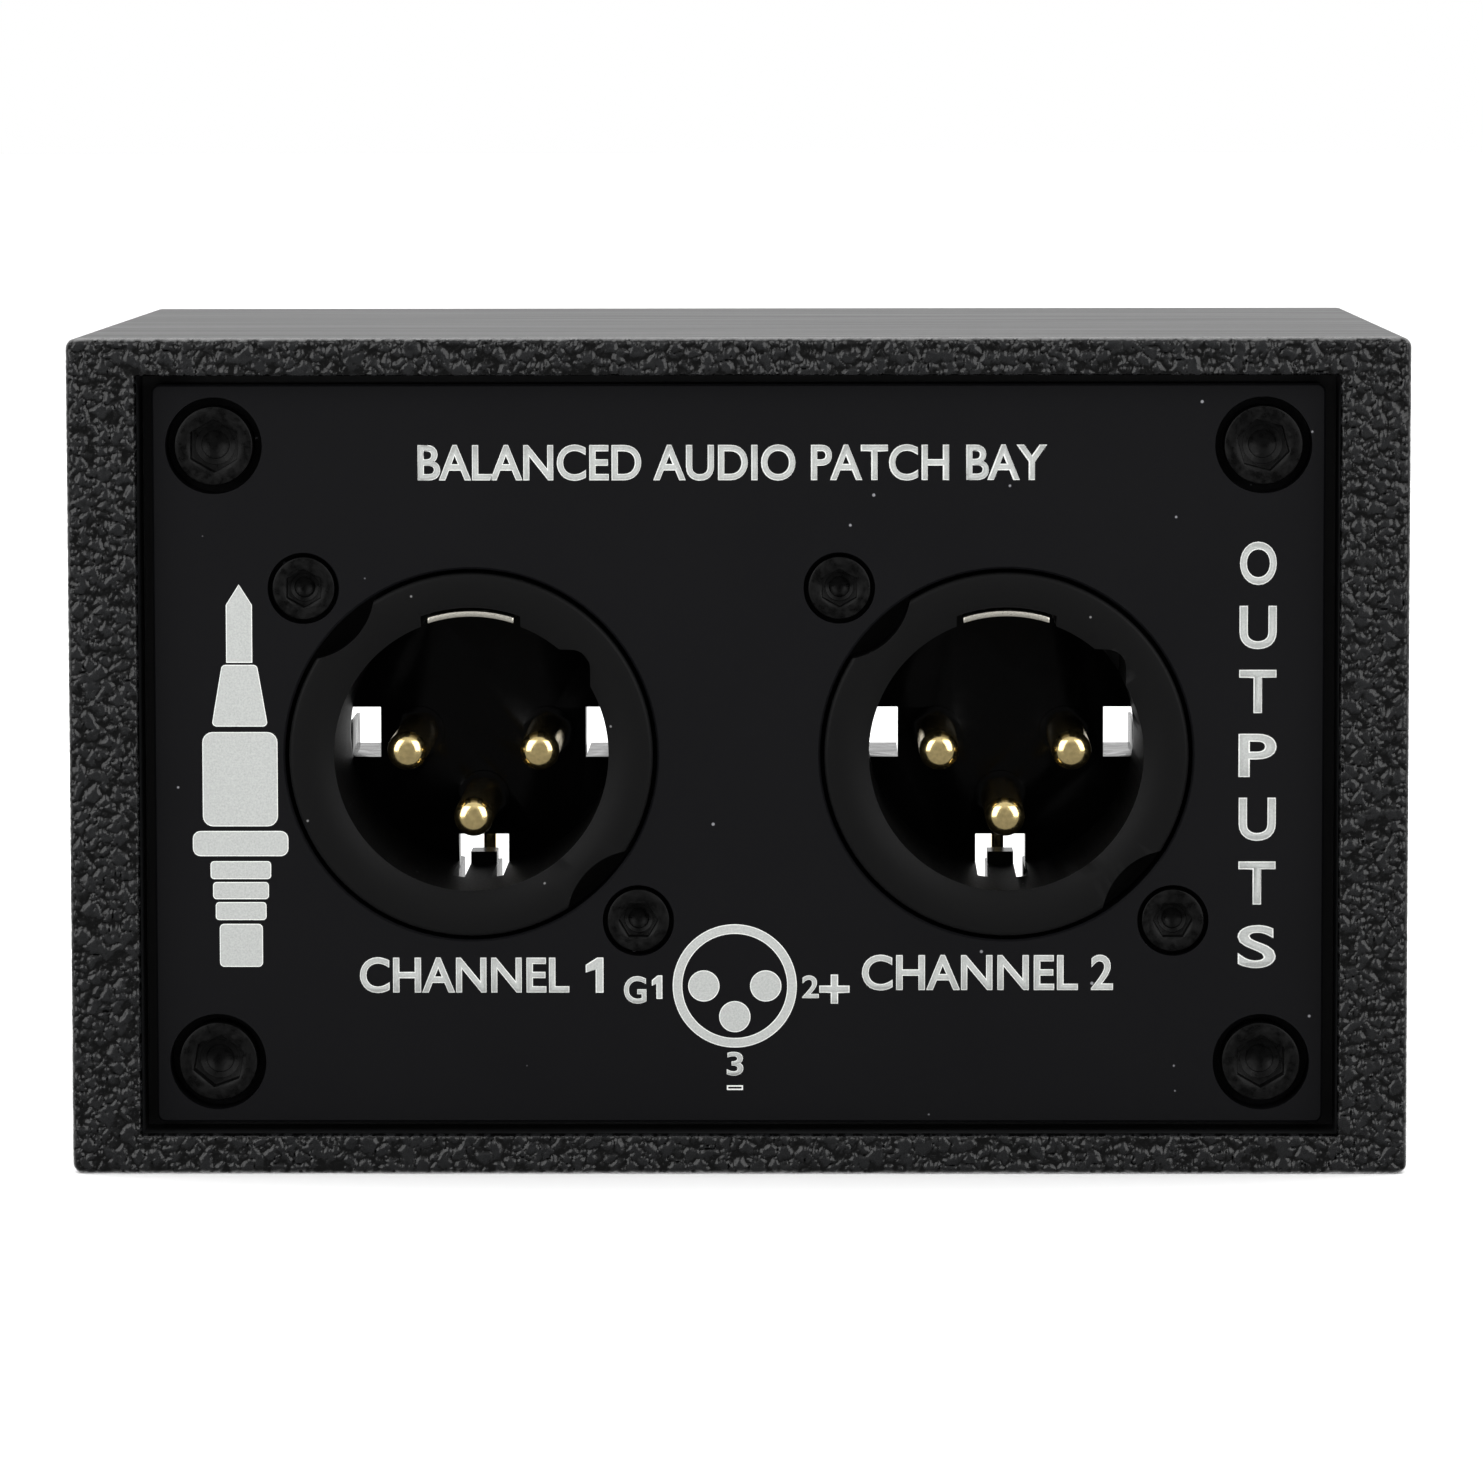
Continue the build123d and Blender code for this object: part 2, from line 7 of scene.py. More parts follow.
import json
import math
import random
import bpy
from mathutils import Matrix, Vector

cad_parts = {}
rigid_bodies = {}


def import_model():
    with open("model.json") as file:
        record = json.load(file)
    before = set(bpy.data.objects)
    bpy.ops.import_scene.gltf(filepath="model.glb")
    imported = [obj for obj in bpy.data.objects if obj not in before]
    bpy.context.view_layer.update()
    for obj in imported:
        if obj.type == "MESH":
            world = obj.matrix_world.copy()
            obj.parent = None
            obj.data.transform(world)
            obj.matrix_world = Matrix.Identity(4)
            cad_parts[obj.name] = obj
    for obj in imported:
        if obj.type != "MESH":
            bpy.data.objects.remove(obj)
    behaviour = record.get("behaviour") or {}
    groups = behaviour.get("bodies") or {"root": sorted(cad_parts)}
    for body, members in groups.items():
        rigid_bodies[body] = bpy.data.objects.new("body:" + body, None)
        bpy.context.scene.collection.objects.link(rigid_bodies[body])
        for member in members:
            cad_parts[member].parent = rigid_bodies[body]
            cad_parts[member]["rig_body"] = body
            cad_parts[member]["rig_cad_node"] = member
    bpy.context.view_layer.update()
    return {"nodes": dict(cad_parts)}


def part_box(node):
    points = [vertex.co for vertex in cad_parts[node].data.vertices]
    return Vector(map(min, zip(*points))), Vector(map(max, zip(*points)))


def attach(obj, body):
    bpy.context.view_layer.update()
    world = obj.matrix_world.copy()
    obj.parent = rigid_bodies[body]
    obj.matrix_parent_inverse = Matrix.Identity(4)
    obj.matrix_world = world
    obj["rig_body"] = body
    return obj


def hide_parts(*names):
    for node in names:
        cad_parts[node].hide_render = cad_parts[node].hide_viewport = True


bl_info = {
    "name": "Audio Patch Bay Builder",
    "version": (1, 0, 0),
    "blender": (4, 5, 0),
    "location": "3D View > Sidebar > Patch Bay",
    "description": "Models and finishes a small audio patch bay round its design frame",
    "category": "Add Mesh",
}

import bpy
import numpy as np
from mathutils import Matrix, Vector, noise

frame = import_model()

MM = 0.001
BODY = "root"
CHANNELS = (1, 2)
CONTACTS = ("ground_contact", "signal_contact", "return_contact")

# Places read from the design frame
HOUSING_LOW, HOUSING_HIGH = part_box("housing")
PANEL_LOW, PANEL_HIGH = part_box("front_panel")
FRONT = HOUSING_LOW.y
PANEL_FACE = PANEL_LOW.y
PANEL_MIDDLE = (PANEL_LOW + PANEL_HIGH) / 2


def socket_middle(channel):
    """The middle of one socket's ring, on its front face."""
    low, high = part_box(f"socket_{channel}_shell")
    return Vector(((low.x + high.x) / 2, low.y, (low.z + high.z) / 2))


SOCKET_MIDDLE = {channel: socket_middle(channel) for channel in CHANNELS}
RING_FACE = SOCKET_MIDDLE[1].y
BARREL_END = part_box("socket_1_shell")[1].y


# ---------------------------------------------------------------------------------------
# Settings
# ---------------------------------------------------------------------------------------


class HousingSettings(bpy.types.PropertyGroup):
    """Sizes and colour of the printed housing."""

    colour: bpy.props.FloatVectorProperty(
        name="Plastic", description="Colour of the printed plastic",
        subtype="COLOR", size=3, default=(0.0062, 0.0064, 0.0068),
    )
    layer_height: bpy.props.FloatProperty(
        name="Layer height", description="Height of one printed layer",
        default=0.28 * MM, unit="LENGTH",
    )
    layer_groove: bpy.props.FloatProperty(
        name="Layer groove", description="Depth of the groove between two layers",
        default=0.012 * MM, unit="LENGTH",
    )
    rim_cell: bpy.props.FloatProperty(
        name="Rim mesh size", description="Size of one face of the textured rim's mesh",
        default=0.1 * MM, unit="LENGTH",
    )
    rim_depth: bpy.props.FloatProperty(
        name="Rim texture depth", description="Depth of the pits in the textured rim",
        default=0.15 * MM, unit="LENGTH",
    )
    rim_grain: bpy.props.FloatProperty(
        name="Rim grain", description="Width of the bumps in the textured rim",
        default=0.8 * MM, unit="LENGTH",
    )


class PanelSettings(bpy.types.PropertyGroup):
    """Colours of the front panel and its marks."""

    colour: bpy.props.FloatVectorProperty(
        name="Panel", description="Colour of the anodised panel",
        subtype="COLOR", size=3, default=(0.0037, 0.0037, 0.0043),
    )
    mark_colour: bpy.props.FloatVectorProperty(
        name="Marks", description="Colour of the etched marks",
        subtype="COLOR", size=3, default=(0.33, 0.34, 0.33),
    )
    edge_colour: bpy.props.FloatVectorProperty(
        name="Mark edges", description="Colour of the brighter edge round each mark",
        subtype="COLOR", size=3, default=(0.62, 0.63, 0.61),
    )
    mark_edge: bpy.props.FloatProperty(
        name="Mark edge width", description="Width of the brighter edge round each mark",
        default=0.05 * MM, unit="LENGTH",
    )


class SocketSettings(bpy.types.PropertyGroup):
    """Colours of the sockets."""

    shell_colour: bpy.props.FloatVectorProperty(
        name="Shell", description="Colour of the sockets' shells",
        subtype="COLOR", size=3, default=(0.0041, 0.0041, 0.0042),
    )
    gold_colour: bpy.props.FloatVectorProperty(
        name="Gold", description="Colour of the plated contacts",
        subtype="COLOR", size=3, default=(1.0, 0.79, 0.37),
    )
    contact_tip_radius: bpy.props.FloatProperty(
        name="Tip rounding", description="Radius of the rounding at a contact's tip",
        default=0.85 * MM, unit="LENGTH",
    )


class StageSettings(bpy.types.PropertyGroup):
    """The plain studio round the object."""

    lens: bpy.props.FloatProperty(
        name="Lens", description="Focal length of the camera, in millimetres", default=178.5,
    )
    side_power: bpy.props.FloatProperty(
        name="Side lights", description="Power of each side softbox, in watts", default=2.4,
    )
    top_power: bpy.props.FloatProperty(
        name="Overhead light", description="Power of the overhead softbox, in watts",
        default=5.0,
    )
    back_glow: bpy.props.FloatProperty(
        name="Bright side", description="Brightness of the surroundings behind the object",
        default=1.0,
    )
    overhead_glow: bpy.props.FloatProperty(
        name="Overhead glow", description="How much brighter the surroundings are overhead",
        default=2.2,
    )
    front_glow: bpy.props.FloatProperty(
        name="Dark side", description="Brightness of the surroundings in front of it",
        default=0.28,
    )


# ---------------------------------------------------------------------------------------
# Modelling helpers
# ---------------------------------------------------------------------------------------


def pick_only(piece):
    """Selects one object and makes it the active one."""
    bpy.ops.object.select_all(action="DESELECT")
    piece.select_set(True)
    bpy.context.view_layer.objects.active = piece
    return piece


def settle(piece, name):
    """Names a new object and moves its place, turn and scale into its mesh."""
    piece.name = name
    piece.data.name = name
    pick_only(piece)
    bpy.ops.object.transform_apply(location=True, rotation=True, scale=True)
    return piece


def edit_all(piece):
    """Edit mode on one piece, with all of it selected."""
    pick_only(piece)
    bpy.ops.object.mode_set(mode="EDIT")
    bpy.ops.mesh.select_mode(type="VERT")
    bpy.ops.mesh.select_all(action="SELECT")


def edit_none(piece, mode):
    """Edit mode on one piece, in VERT, EDGE or FACE mode, with nothing selected."""
    pick_only(piece)
    bpy.ops.object.mode_set(mode="EDIT")
    bpy.ops.mesh.select_mode(type=mode)
    bpy.ops.mesh.select_all(action="DESELECT")


def leave_edit():
    """Back to object mode."""
    bpy.ops.object.mode_set(mode="OBJECT")


def select_edges(piece, wanted):
    """Selects the edges whose two ends satisfy wanted(start, end), and nothing else."""
    edit_none(piece, "EDGE")
    leave_edit()
    for edge in piece.data.edges:
        edge.select = wanted(*[piece.data.vertices[index].co for index in edge.vertices])


def add_block(name, low, high):
    """A box between two corners."""
    bpy.ops.object.select_all(action="DESELECT")
    bpy.ops.mesh.primitive_cube_add(size=1, location=(low + high) / 2, scale=high - low)
    return settle(bpy.context.object, name)


def add_rod(name, radius, near, far, x, z, sides=96):
    """A round rod along Y, from near to far."""
    bpy.ops.object.select_all(action="DESELECT")
    bpy.ops.mesh.primitive_cylinder_add(
        vertices=sides, radius=radius, depth=far - near,
        location=(x, (near + far) / 2, z), rotation=(math.pi / 2, 0, 0),
    )
    return settle(bpy.context.object, name)


def trace(name, points, closed=False):
    """A chain of edges through the points, drawn out of one vertex."""
    bpy.ops.object.select_all(action="DESELECT")
    bpy.ops.mesh.primitive_plane_add(size=MM, location=points[0])
    piece = settle(bpy.context.object, name)
    edit_all(piece)
    bpy.ops.mesh.merge(type="CENTER")
    for before, after in zip(points, points[1:]):
        step = Vector(after) - Vector(before)
        bpy.ops.mesh.extrude_region_move(TRANSFORM_OT_translate={"value": step})
    if closed:
        bpy.ops.mesh.select_all(action="SELECT")
        bpy.ops.mesh.edge_face_add()
    leave_edit()
    return piece


def lathe(name, x, z, outline, steps=96):
    """A closed round solid along Y through (x, z), from an outline of (radius, y) points."""
    points = [(x + radius, y, z) for radius, y in outline]
    piece = trace(name, points)
    edit_all(piece)
    bpy.ops.mesh.spin(steps=steps, angle=math.tau, center=(x, 0, z), axis=(0, 1, 0))
    bpy.ops.mesh.select_all(action="SELECT")
    bpy.ops.mesh.remove_doubles(threshold=0.001 * MM)
    bpy.ops.mesh.normals_make_consistent(inside=False)
    leave_edit()
    return piece


def ring_outline(inner, outer, near, far):
    """The closed outline of a plain ring for lathe."""
    return [(inner, near), (outer, near), (outer, far), (inner, far), (inner, near)]


def apply_change(piece, change):
    """Applies one modifier."""
    pick_only(piece)
    bpy.ops.object.modifier_apply(modifier=change.name)


def combine(piece, tool, way):
    """Cuts, joins or intersects a piece with a tool, which is used up."""
    change = piece.modifiers.new("combine", "BOOLEAN")
    change.operation = way
    change.solver = "EXACT"
    change.object = tool
    apply_change(piece, change)
    bpy.data.objects.remove(tool, do_unlink=True)
    return piece


def soften(piece, width, segments=2, angle=35):
    """Rounds every edge sharper than the angle."""
    change = piece.modifiers.new("soften", "BEVEL")
    change.width = width
    change.segments = segments
    change.limit_method = "ANGLE"
    change.angle_limit = math.radians(angle)
    change.use_clamp_overlap = True
    apply_change(piece, change)
    return piece


def smooth(piece, angle=35):
    """Smooth shading across every edge flatter than the angle."""
    pick_only(piece)
    bpy.ops.object.shade_smooth_by_angle(angle=math.radians(angle))
    return piece


def join(pieces, name):
    """Several pieces as one object."""
    bpy.ops.object.select_all(action="DESELECT")
    for piece in pieces:
        piece.select_set(True)
    bpy.context.view_layer.objects.active = pieces[0]
    bpy.ops.object.join()
    pieces[0].name = name
    pieces[0].data.name = name
    return pieces[0]


def copy_shifted(piece, name, shift):
    """A copy of a piece with a mesh of its own, shifted within that mesh."""
    pick_only(piece)
    bpy.ops.object.duplicate(linked=False)
    twin = bpy.context.object
    twin.name = name
    twin.data.name = name
    twin.data.transform(Matrix.Translation(shift))
    return twin


def finish_piece(piece, material, slot, *nodes):
    """Gives a piece its material and ties it to the frame."""
    piece.data.materials.clear()
    piece.data.materials.append(material)
    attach(piece, BODY)
    if nodes:
        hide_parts(*nodes)
    return piece


def finish_node(name, material):
    """Gives a design node that keeps its shape its material."""
    node = frame["nodes"][name]
    node.data.materials.clear()
    node.data.materials.append(material)


# ---------------------------------------------------------------------------------------
# Material helpers
# ---------------------------------------------------------------------------------------


def new_material(name, colour, roughness, metallic=0.0, specular=0.5):
    """A material with its main shader set, and that shader."""
    material = bpy.data.materials.new(name)
    material.use_nodes = True
    shader = material.node_tree.nodes["Principled BSDF"]
    shader.inputs["Base Color"].default_value = (*colour, 1)
    shader.inputs["Roughness"].default_value = roughness
    shader.inputs["Metallic"].default_value = metallic
    shader.inputs["Specular IOR Level"].default_value = specular
    return material, shader


def pattern(material, size, stretch=(1, 1, 1), detail=2.0, roughness=0.5, kind="ShaderNodeTexNoise"):
    """A noise or cell pattern on Object coordinates, whose grain is size wide."""
    nodes, links = material.node_tree.nodes, material.node_tree.links
    place = nodes.new("ShaderNodeTexCoord")
    mapping = nodes.new("ShaderNodeMapping")
    mapping.inputs["Scale"].default_value = [1 / (size * part) for part in stretch]
    texture = nodes.new(kind)
    texture.inputs["Scale"].default_value = 1.0
    texture.inputs["Detail"].default_value = detail
    texture.inputs["Roughness"].default_value = roughness
    links.new(place.outputs["Object"], mapping.inputs["Vector"])
    links.new(mapping.outputs["Vector"], texture.inputs["Vector"])
    return texture


def ramp(material, source, low, high, to_low=0.0, to_high=1.0, smooth_step=False):
    """Maps a value from low..high to to_low..to_high."""
    node = material.node_tree.nodes.new("ShaderNodeMapRange")
    node.interpolation_type = "SMOOTHSTEP" if smooth_step else "LINEAR"
    node.inputs["From Min"].default_value = low
    node.inputs["From Max"].default_value = high
    node.inputs["To Min"].default_value = to_low
    node.inputs["To Max"].default_value = to_high
    material.node_tree.links.new(source, node.inputs["Value"])
    return node.outputs["Result"]


def add_bump(material, shader, height, distance, strength=1.0, before=None):
    """Bump from a height value, on top of an earlier bump if one is given."""
    node = material.node_tree.nodes.new("ShaderNodeBump")
    node.inputs["Distance"].default_value = distance
    node.inputs["Strength"].default_value = strength
    links = material.node_tree.links
    links.new(height, node.inputs["Height"])
    if before is not None:
        links.new(before.outputs["Normal"], node.inputs["Normal"])
    links.new(node.outputs["Normal"], shader.inputs["Normal"])
    return node


def tint(material, shader, amount, colour_low, colour_high):
    """Base colour that goes from one colour to another with the amount."""
    node = material.node_tree.nodes.new("ShaderNodeMix")
    node.data_type = "RGBA"
    node.inputs["A"].default_value = (*colour_low, 1)
    node.inputs["B"].default_value = (*colour_high, 1)
    links = material.node_tree.links
    links.new(amount, node.inputs["Factor"])
    links.new(node.outputs["Result"], shader.inputs["Base Color"])
    return node


def shades(colour, low, high):
    """A darker and a lighter version of a colour."""
    return [part * low for part in colour], [part * high for part in colour]


def dust(material, spacing, share):
    """Sparse dust specks, as a value that is 1 on a speck and 0 off it."""
    nodes, links = material.node_tree.nodes, material.node_tree.links
    cells = pattern(material, spacing, kind="ShaderNodeTexVoronoi", detail=0)
    cells.inputs["Randomness"].default_value = 1.0
    near = ramp(material, cells.outputs["Distance"], 0.045, 0.07, 1.0, 0.0)
    chance = nodes.new("ShaderNodeSeparateColor")
    links.new(cells.outputs["Color"], chance.inputs["Color"])
    lucky = ramp(material, chance.outputs["Red"], share, share + 0.01, 1.0, 0.0)
    both = nodes.new("ShaderNodeMath")
    both.operation = "MULTIPLY"
    links.new(near, both.inputs[0])
    links.new(lucky, both.inputs[1])
    return both.outputs["Value"]


# ---------------------------------------------------------------------------------------
# Finishes
# ---------------------------------------------------------------------------------------


def rim_plastic(colour):
    """Printed plastic with the gloss it takes from a textured build plate, and shade painted into the
    grooves of its relief.
    """
    material, shader = new_material("rim_plastic", colour, 0.24, specular=0.3)
    nodes, links = material.node_tree.nodes, material.node_tree.links
    groove = nodes.new("ShaderNodeAttribute")
    groove.attribute_name = "groove"
    # Painted shade: the base colour falls almost to black in the grooves of the relief and is a little
    # lighter on the raised parts.
    painted_groove_shade_mix = ramp(material, groove.outputs["Fac"], 0.75, 0.0)
    tint(material, shader, painted_groove_shade_mix, *shades(colour, 0.05, 1.2))
    gloss = pattern(material, 0.35 * MM, detail=3)
    gloss_value = ramp(material, gloss.outputs["Fac"], 0.35, 0.65, 0.16, 0.3)
    links.new(gloss_value, shader.inputs["Roughness"])
    worm = pattern(material, 0.22 * MM, detail=1.0, roughness=0.4)
    edge = ramp(material, worm.outputs["Fac"], 0.44, 0.56, smooth_step=True)
    first = add_bump(material, shader, edge, 0.008 * MM, 0.5)
    fine = pattern(material, 0.06 * MM, detail=2)
    add_bump(material, shader, fine.outputs["Fac"], 0.004 * MM, 0.6, before=first)
    return material


def layer_plastic(colour):
    """Printed plastic with streaks that follow the layers."""
    material, shader = new_material("layer_plastic", colour, 0.4, specular=0.28)
    streaks = pattern(material, 0.35 * MM, stretch=(90, 1, 90), detail=3, roughness=0.6)
    tint(material, shader, ramp(material, streaks.outputs["Fac"], 0.3, 0.7), *shades(colour, 0.7, 1.5))
    gloss = ramp(material, streaks.outputs["Fac"], 0.3, 0.7, 0.34, 0.58)
    material.node_tree.links.new(gloss, shader.inputs["Roughness"])
    first = add_bump(material, shader, streaks.outputs["Fac"], 0.012 * MM, 0.7)
    fine = pattern(material, 0.09 * MM, detail=2)
    add_bump(material, shader, fine.outputs["Fac"], 0.003 * MM, 0.5, before=first)
    return material


def anodised_black(colour):
    """Bead-blasted and black anodised aluminium with a few specks of dust."""
    material, shader = new_material("anodised_black", colour, 0.5, specular=0.07)
    specks = dust(material, 1.6 * MM, 0.22)
    tint(material, shader, specks, colour, (0.16, 0.16, 0.17))
    cloud = pattern(material, 9 * MM, detail=3)
    gloss = ramp(material, cloud.outputs["Fac"], 0.3, 0.7, 0.46, 0.56)
    material.node_tree.links.new(gloss, shader.inputs["Roughness"])
    grain = pattern(material, 0.09 * MM, detail=3, roughness=0.7)
    add_bump(material, shader, grain.outputs["Fac"], 0.006 * MM, 0.8)
    return material


def etched_mark(name, colour):
    """Laser-etched marks, mottled where the beam's lines meet."""
    material, shader = new_material(name, colour, 0.7, specular=0.25)
    mottle = pattern(material, 0.12 * MM, detail=3, roughness=0.7)
    tint(material, shader, ramp(material, mottle.outputs["Fac"], 0.3, 0.7), *shades(colour, 0.84, 1.12))
    add_bump(material, shader, mottle.outputs["Fac"], 0.004 * MM, 0.5)
    return material


def black_oxide():
    """Black oxide on steel, blotchy and a little worn."""
    colour = (0.0024, 0.0024, 0.0024)
    material, shader = new_material("black_oxide", colour, 0.3, specular=0.09)
    blotch = pattern(material, 0.5 * MM, detail=5, roughness=0.7)
    tint(material, shader, ramp(material, blotch.outputs["Fac"], 0.4, 0.66), *shades(colour, 0.4, 2.0))
    gloss = ramp(material, blotch.outputs["Fac"], 0.35, 0.65, 0.24, 0.48)
    material.node_tree.links.new(gloss, shader.inputs["Roughness"])
    pits = pattern(material, 0.16 * MM, detail=3)
    add_bump(material, shader, pits.outputs["Fac"], 0.012 * MM, 0.6)
    return material


def satin_shell(colour):
    """Moulded black nylon: a fine matt skin with dust specks, polished deep in the bore."""
    material, shader = new_material("satin_shell", colour, 0.42, specular=0.06)
    specks = dust(material, 1.3 * MM, 0.35)
    tint(material, shader, specks, colour, (0.12, 0.12, 0.12))
    grain = pattern(material, 0.12 * MM, detail=3, roughness=0.65)
    gloss = ramp(material, grain.outputs["Fac"], 0.35, 0.65, 0.38, 0.5)
    nodes, links = material.node_tree.nodes, material.node_tree.links
    depth = nodes.new("ShaderNodeSeparateXYZ")
    links.new(nodes.new("ShaderNodeTexCoord").outputs["Object"], depth.inputs["Vector"])
    carrier_face, _ = carrier_depths()
    polished = ramp(material, depth.outputs["Y"], carrier_face - 0.6 * MM, carrier_face)
    blend = nodes.new("ShaderNodeMix")
    blend.inputs["B"].default_value = 0.2
    links.new(polished, blend.inputs["Factor"])
    links.new(gloss, blend.inputs["A"])
    links.new(blend.outputs["Result"], shader.inputs["Roughness"])
    add_bump(material, shader, grain.outputs["Fac"], 0.008 * MM, 0.6)
    return material


def gloss_carrier():
    """Glossy black moulding with faint flow marks."""
    material, shader = new_material("gloss_carrier", (0.0008, 0.0008, 0.0009), 0.14, specular=0.1)
    flow = pattern(material, 1.4 * MM, detail=2)
    gloss = ramp(material, flow.outputs["Fac"], 0.3, 0.7, 0.12, 0.24)
    material.node_tree.links.new(gloss, shader.inputs["Roughness"])
    add_bump(material, shader, flow.outputs["Fac"], 0.01 * MM, 0.4)
    return material


def plated_gold(colour):
    """Gold plating with the fine marks of a turned tip."""
    material, shader = new_material("plated_gold", colour, 0.16, metallic=1.0)
    wear = pattern(material, 0.3 * MM, detail=4, roughness=0.6)
    tint(material, shader, ramp(material, wear.outputs["Fac"], 0.35, 0.7), *shades(colour, 0.86, 1.04))
    gloss = ramp(material, wear.outputs["Fac"], 0.3, 0.7, 0.13, 0.25)
    material.node_tree.links.new(gloss, shader.inputs["Roughness"])
    add_bump(material, shader, wear.outputs["Fac"], 0.008 * MM, 0.5)
    return material


def plain_metal(name, colour, roughness, grain_size):
    """Bare or plated metal with grain and uneven gloss."""
    material, shader = new_material(name, colour, roughness, metallic=1.0)
    grain = pattern(material, grain_size, detail=4, roughness=0.65)
    tint(material, shader, ramp(material, grain.outputs["Fac"], 0.3, 0.7), *shades(colour, 0.8, 1.08))
    gloss = ramp(material, grain.outputs["Fac"], 0.3, 0.7, roughness * 0.7, roughness * 1.3)
    material.node_tree.links.new(gloss, shader.inputs["Roughness"])
    add_bump(material, shader, grain.outputs["Fac"], 0.01 * MM, 0.5)
    return material


def pale_floor():
    """The plain pale floor."""
    material, shader = new_material("pale_floor", (0.9, 0.9, 0.9), 0.75, specular=0.15)
    haze = pattern(material, 120 * MM, detail=2)
    gloss = ramp(material, haze.outputs["Fac"], 0.3, 0.7, 0.7, 0.8)
    material.node_tree.links.new(gloss, shader.inputs["Roughness"])
    return material


# ---------------------------------------------------------------------------------------
# Housing
# ---------------------------------------------------------------------------------------

HOUSING_CORNER = 0.6 * MM
RIM_SKIN = 0.8 * MM
RIM_EDGE = 0.4 * MM
OPENING_EDGE = 0.15 * MM
OPENING_HALF_WIDTH = 35.5 * MM
OPENING_BOTTOM = 2.3 * MM
OPENING_TOP = 47.4 * MM
OPENING_CORNER = 0.7 * MM
LEDGE_WIDTH = 2.8 * MM
LEDGE_HEIGHT = 2.35 * MM
BOSS_RADIUS = 4.0 * MM
BOSS_LENGTH = 11.0 * MM
BOSS_CONE = 3.0 * MM
BOSS_STEP = 0.03 * MM
INSERT_BORE = 2.42 * MM
INSERT_BORE_LENGTH = 6 * MM
STACK_LAYERS = 12
PIT_SHIFT = Vector((7.3, 2.9, 4.1))


def layered_prism(name, low, high, corner, layer, groove, seed, end_rounding=0.0):
    """A rounded prism along Y with a fine groove between its printed layers.

    A stack of a few layers is drawn out of its outline, each with its own slight width,
    and an array repeats the stack. The far end can be rounded.
    """
    middle = (low + high) / 2
    width, height = high.x - low.x, high.z - low.z
    bpy.ops.object.select_all(action="DESELECT")
    bpy.ops.mesh.primitive_plane_add(
        size=1, location=(middle.x, low.y, middle.z), rotation=(math.pi / 2, 0, 0)
    )
    bpy.context.object.scale = (width - 2 * groove, height - 2 * groove, 1)
    piece = settle(bpy.context.object, name)
    edit_all(piece)
    bpy.ops.mesh.bevel(offset=corner, offset_type="OFFSET", segments=6, affect="VERTICES")
    bpy.ops.mesh.select_all(action="SELECT")
    bpy.ops.mesh.delete(type="ONLY_FACE")
    bpy.ops.mesh.select_all(action="SELECT")
    length = high.y - low.y - end_rounding
    stacks = round(length / (layer * STACK_LAYERS))
    step = length / (stacks * STACK_LAYERS)
    inset = groove

    def draw_out(distance, target):
        """Extrudes the open end, then sets how far it is inset."""
        nonlocal inset
        bpy.ops.mesh.extrude_region_move(TRANSFORM_OT_translate={"value": (0, distance, 0)})
        if target != inset:
            bpy.ops.transform.resize(
                value=((width - 2 * target) / (width - 2 * inset), 1,
                       (height - 2 * target) / (height - 2 * inset)),
                center_override=middle,
            )
            inset = target

    draw = random.Random(seed)
    for _ in range(STACK_LAYERS):
        full = draw.uniform(0, 0.35) * groove
        for share, target in ((0.15, full), (0.7, full), (0.15, groove)):
            draw_out(step * share, target)
    leave_edit()
    change = piece.modifiers.new("stacks", "ARRAY")
    change.use_relative_offset = False
    change.use_constant_offset = True
    change.constant_offset_displace = (0, step * STACK_LAYERS, 0)
    change.count = stacks
    change.use_merge_vertices = True
    change.merge_threshold = 0.001 * MM
    apply_change(piece, change)
    if end_rounding:
        end = high.y - end_rounding
        select_edges(piece, lambda start, stop: min(start.y, stop.y) > end - step * 0.05)
        bpy.ops.object.mode_set(mode="EDIT")
        turns = [math.radians(angle) for angle in range(0, 91, 15)]
        for before, after in zip(turns, turns[1:]):
            draw_out(
                end_rounding * (math.sin(after) - math.sin(before)),
                groove + end_rounding * (1 - math.cos(after)),
            )
        leave_edit()
    edit_none(piece, "EDGE")
    bpy.ops.mesh.select_non_manifold(extend=False)
    bpy.ops.mesh.fill_holes(sides=0)
    bpy.ops.mesh.select_all(action="SELECT")
    bpy.ops.mesh.normals_make_consistent(inside=False)
    leave_edit()
    return piece


def rounded_distance(x, z, half_width, half_height, corner):
    """Distance inwards from a rounded rectangle's outline, for points round its middle."""
    over_x = np.abs(x) - (half_width - corner)
    over_z = np.abs(z) - (half_height - corner)
    outside = np.hypot(np.maximum(over_x, 0), np.maximum(over_z, 0))
    return corner - outside - np.minimum(np.maximum(over_x, over_z), 0)


def round_corners(x, z, half_width, half_height, corner, outwards):
    """Moves the points of a square corner onto the rounded one."""
    over_x = np.abs(x) - (half_width - corner)
    over_z = np.abs(z) - (half_height - corner)
    near = (over_x > 0) & (over_z > 0)
    if outwards:
        near &= (over_x <= corner) & (over_z <= corner)
    longest = np.maximum(over_x, over_z)
    length = np.maximum(np.hypot(over_x, over_z), 1e-9)
    scale = np.where(near, longest / length, 1.0)
    new_x = np.where(near, np.sign(x) * (half_width - corner + over_x * scale), x)
    new_z = np.where(near, np.sign(z) * (half_height - corner + over_z * scale), z)
    return new_x, new_z


